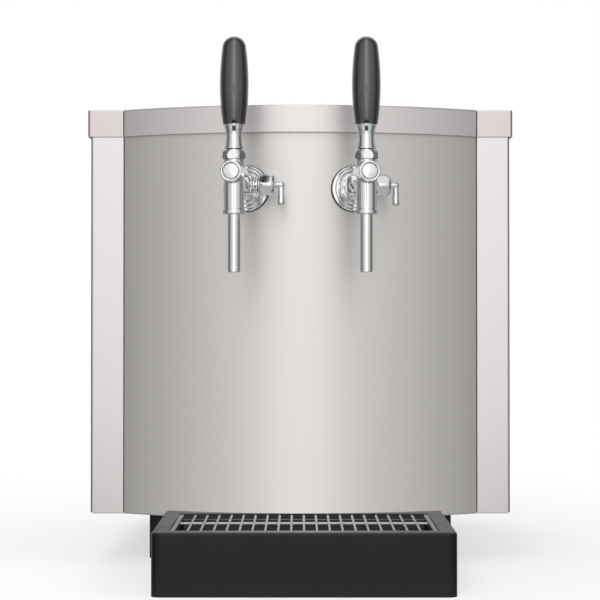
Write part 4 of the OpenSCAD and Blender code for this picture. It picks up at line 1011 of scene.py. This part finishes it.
def lever(bm):
    elbow = AT_COMP @ Matrix.Translation((hub_x, 0, 0))
    inner_end, cap_end = comp_x + 0.003, comp_x + comp_len + 0.0005
    turned(bm, [(0, inner_end), (spindle_r, inner_end), (spindle_r, cap_end), (hub_r, cap_end),
                (hub_r, hub_x), (0, hub_x)], place=AT_COMP @ SIDEWAYS, steps=36)
    turned(bm, ball(hub_r), place=elbow, steps=36)
    turned(bm, [(0, 0), (pin_r, 0), (0.0037, -comp_drop), (0, -comp_drop)], place=elbow, steps=36)
    turned(bm, ball(0.0039), place=elbow @ Matrix.Translation((0, 0, 0.0002 - comp_drop)), steps=36)


one_tap_pieces("flow_lever", lever, "{}_compensator", "compensator_lever", chrome)
for side in tap_places:
    fuse(bpy.data.objects[side + "_flow_lever"], 0.00032, 4)

# %% [markdown]
# ## Tubes in the cold bath
# With the lid off, the coils show. Each tube is swept along its own route: the points of the coil and
# of the bends are worked out once and given to a curve with a round bevel, which is then made a mesh.
# Two steel coils carry the beer; the copper ones, round the bath and from the compressor, cool it.

# %% Tube routes
def bent(points, radius, steps=6):
    route = [Vector(points[0])]
    for before, b, after in zip(points, points[1:], points[2:]):
        b = Vector(b)
        u, v = (Vector(before) - b).normalized(), (Vector(after) - b).normalized()
        half = u.angle(v) / 2
        if half > math.radians(89):
            route.append(b)
            continue
        centre = b + (u + v).normalized() * radius / math.sin(half)
        first = b + u * radius / math.tan(half) - centre
        sweep = math.pi - 2 * half
        for i in range(steps + 1):
            a = sweep * i / steps
            route.append(centre + math.cos(a) * first - math.sin(a) * radius * u)
    return route + [Vector(points[-1])]


def tube(name, points, node, material):
    path = bpy.data.curves.new(name, "CURVE")
    path.dimensions = "3D"
    path.bevel_depth = 0.004
    path.bevel_resolution = 3
    path.use_fill_caps = True
    line = path.splines.new("POLY")
    line.points.add(len(points) - 1)
    for dot, place in zip(line.points, points):
        dot.co = (*place, 1)
    curve = bpy.data.objects.new(name, path)
    scene.collection.objects.link(curve)
    mesh = bpy.data.meshes.new_from_object(curve.evaluated_get(bpy.context.evaluated_depsgraph_get()))
    bpy.data.objects.remove(curve)
    bm = bmesh.new()
    bm.from_mesh(mesh)
    make_piece(name, bm, "cabinet", [node], material, 50)


bath_cy, cavity_y0, cavity_y1 = 0.0738, -0.077, 0.2246
inlet_x, inlet_z, coil_x, coil_r = 0.028, 0.447, 0.088, 0.060
coil_z0, coil_z1, coil_turns = 0.236, 0.371, 9
shank_in = (cavity_y0 + 0.008 - tap_y) / math.cos(tap_yaw)


def tap_point(f):
    return (tap_x + f * math.sin(tap_yaw), tap_y - f * math.cos(tap_yaw), shank_z)


coil = []
for i in range(coil_turns * 24 + 1):
    a = math.radians(180 - i * 15)
    coil.append(Vector((coil_x + coil_r * math.cos(a), bath_cy + coil_r * math.sin(a),
                        coil_z1 - (coil_z1 - coil_z0) * i / (coil_turns * 24))))
riser_y = bath_cy + coil_r + 0.026
beer_line = bent([
    tap_point(-shank_in + 0.010), tap_point(-shank_in - 0.018),
    (inlet_x, bath_cy - 0.036, coil_z1 + 0.008), (inlet_x, bath_cy - 0.002, coil_z1 + 0.0004),
], 0.016)
beer_line += coil
beer_line += bent([
    (inlet_x, bath_cy + 0.003, coil_z0 - 0.0003), (inlet_x, riser_y, coil_z0 - 0.002),
    (inlet_x, riser_y, inlet_z), (inlet_x, cavity_y1 + 0.002, inlet_z),
], 0.014)
mirror_line = [Vector((-p.x, p.y, p.z)) for p in beer_line]
tube("right_beer_coil", beer_line, "right_product_line", stainless)
tube("left_beer_coil", mirror_line, "left_product_line", stainless)

# %% Cooling tubes
engine_x, engine_y, pipe_y, pump_r = -0.1134, 0.1108, 0.2741, 0.055
evap_x, evap_y0, evap_y1, evap_z0, evap_z1, evap_turns = 0.172, -0.063, 0.2106, 0.240, 0.370, 5
loops = []
for i in range(evap_turns * 4):
    x = -evap_x if i % 4 in (0, 1) else evap_x
    y = evap_y1 if i % 4 in (0, 3) else evap_y0
    loops.append((x, y, evap_z0 + (evap_z1 - evap_z0) * i / (evap_turns * 4)))
stub_y, stub_z, suction_z = engine_y + 0.020, 0.174, 0.180
liquid_x, liquid_z, hot_z = 0.105, 0.179, 0.130
cold_line = [(engine_x, stub_y, stub_z), (engine_x, stub_y, suction_z), (engine_x, pipe_y, suction_z),
             (engine_x, pipe_y, evap_z0), (engine_x, evap_y1, evap_z0)]
cold_line += loops
cold_line += [(liquid_x, evap_y1, evap_z1), (liquid_x, pipe_y, evap_z1), (liquid_x, pipe_y, liquid_z)]
tube("evaporator_tube", bent(cold_line, 0.012), "evaporator_coil", copper)
turn_x = (engine_x + pump_r) / 2
hot_line = [(engine_x + pump_r + 0.006, engine_y, hot_z), (turn_x, engine_y, hot_z), (turn_x, pipe_y, hot_z),
            (-0.006, pipe_y, hot_z)]
tube("discharge_tube", bent(hot_line, 0.009), "discharge_line", copper)

# %% [markdown]
# ## Fixed CAD pieces
# What stays as the CAD made it gets a finish too: the plinth and feet, the rear panel, the bath with
# its machine, and the small moving parts inside the taps.

# %% Finishes of the carried-over nodes
cad_finish = {
    plinth_black: ["plinth"],
    rubber: ["rubber_feet", "compressor_grommets"],
    rear_steel: ["base_pan", "rear_panel", "tank_rails", "cover_screws"],
    foam: ["lid_insulation"],
    stainless: ["shank_nuts", "left_shank", "right_shank", "left_lever_stem", "right_lever_stem",
                "left_product_inlet", "right_product_inlet", "agitator_rotor"],
    plastic_light: ["left_valve_piston", "right_valve_piston", "fan_blade", "thermostat"],
    liner: ["cold_bath"],
    machine_black: ["compressor", "agitator_motor", "fan_motor"],
    fin_metal: ["condenser"],
    plastic_dark: ["fan_shroud", "thermostat_knob", "switch_frame", "power_inlet"],
    rocker_red: ["rocker_switch"],
}
dressed = 0
for material, names in cad_finish.items():
    for name in names:
        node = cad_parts[name]
        node.data.materials.clear()
        node.data.materials.append(material)
        dressed += 1
print("CAD nodes dressed:", dressed)
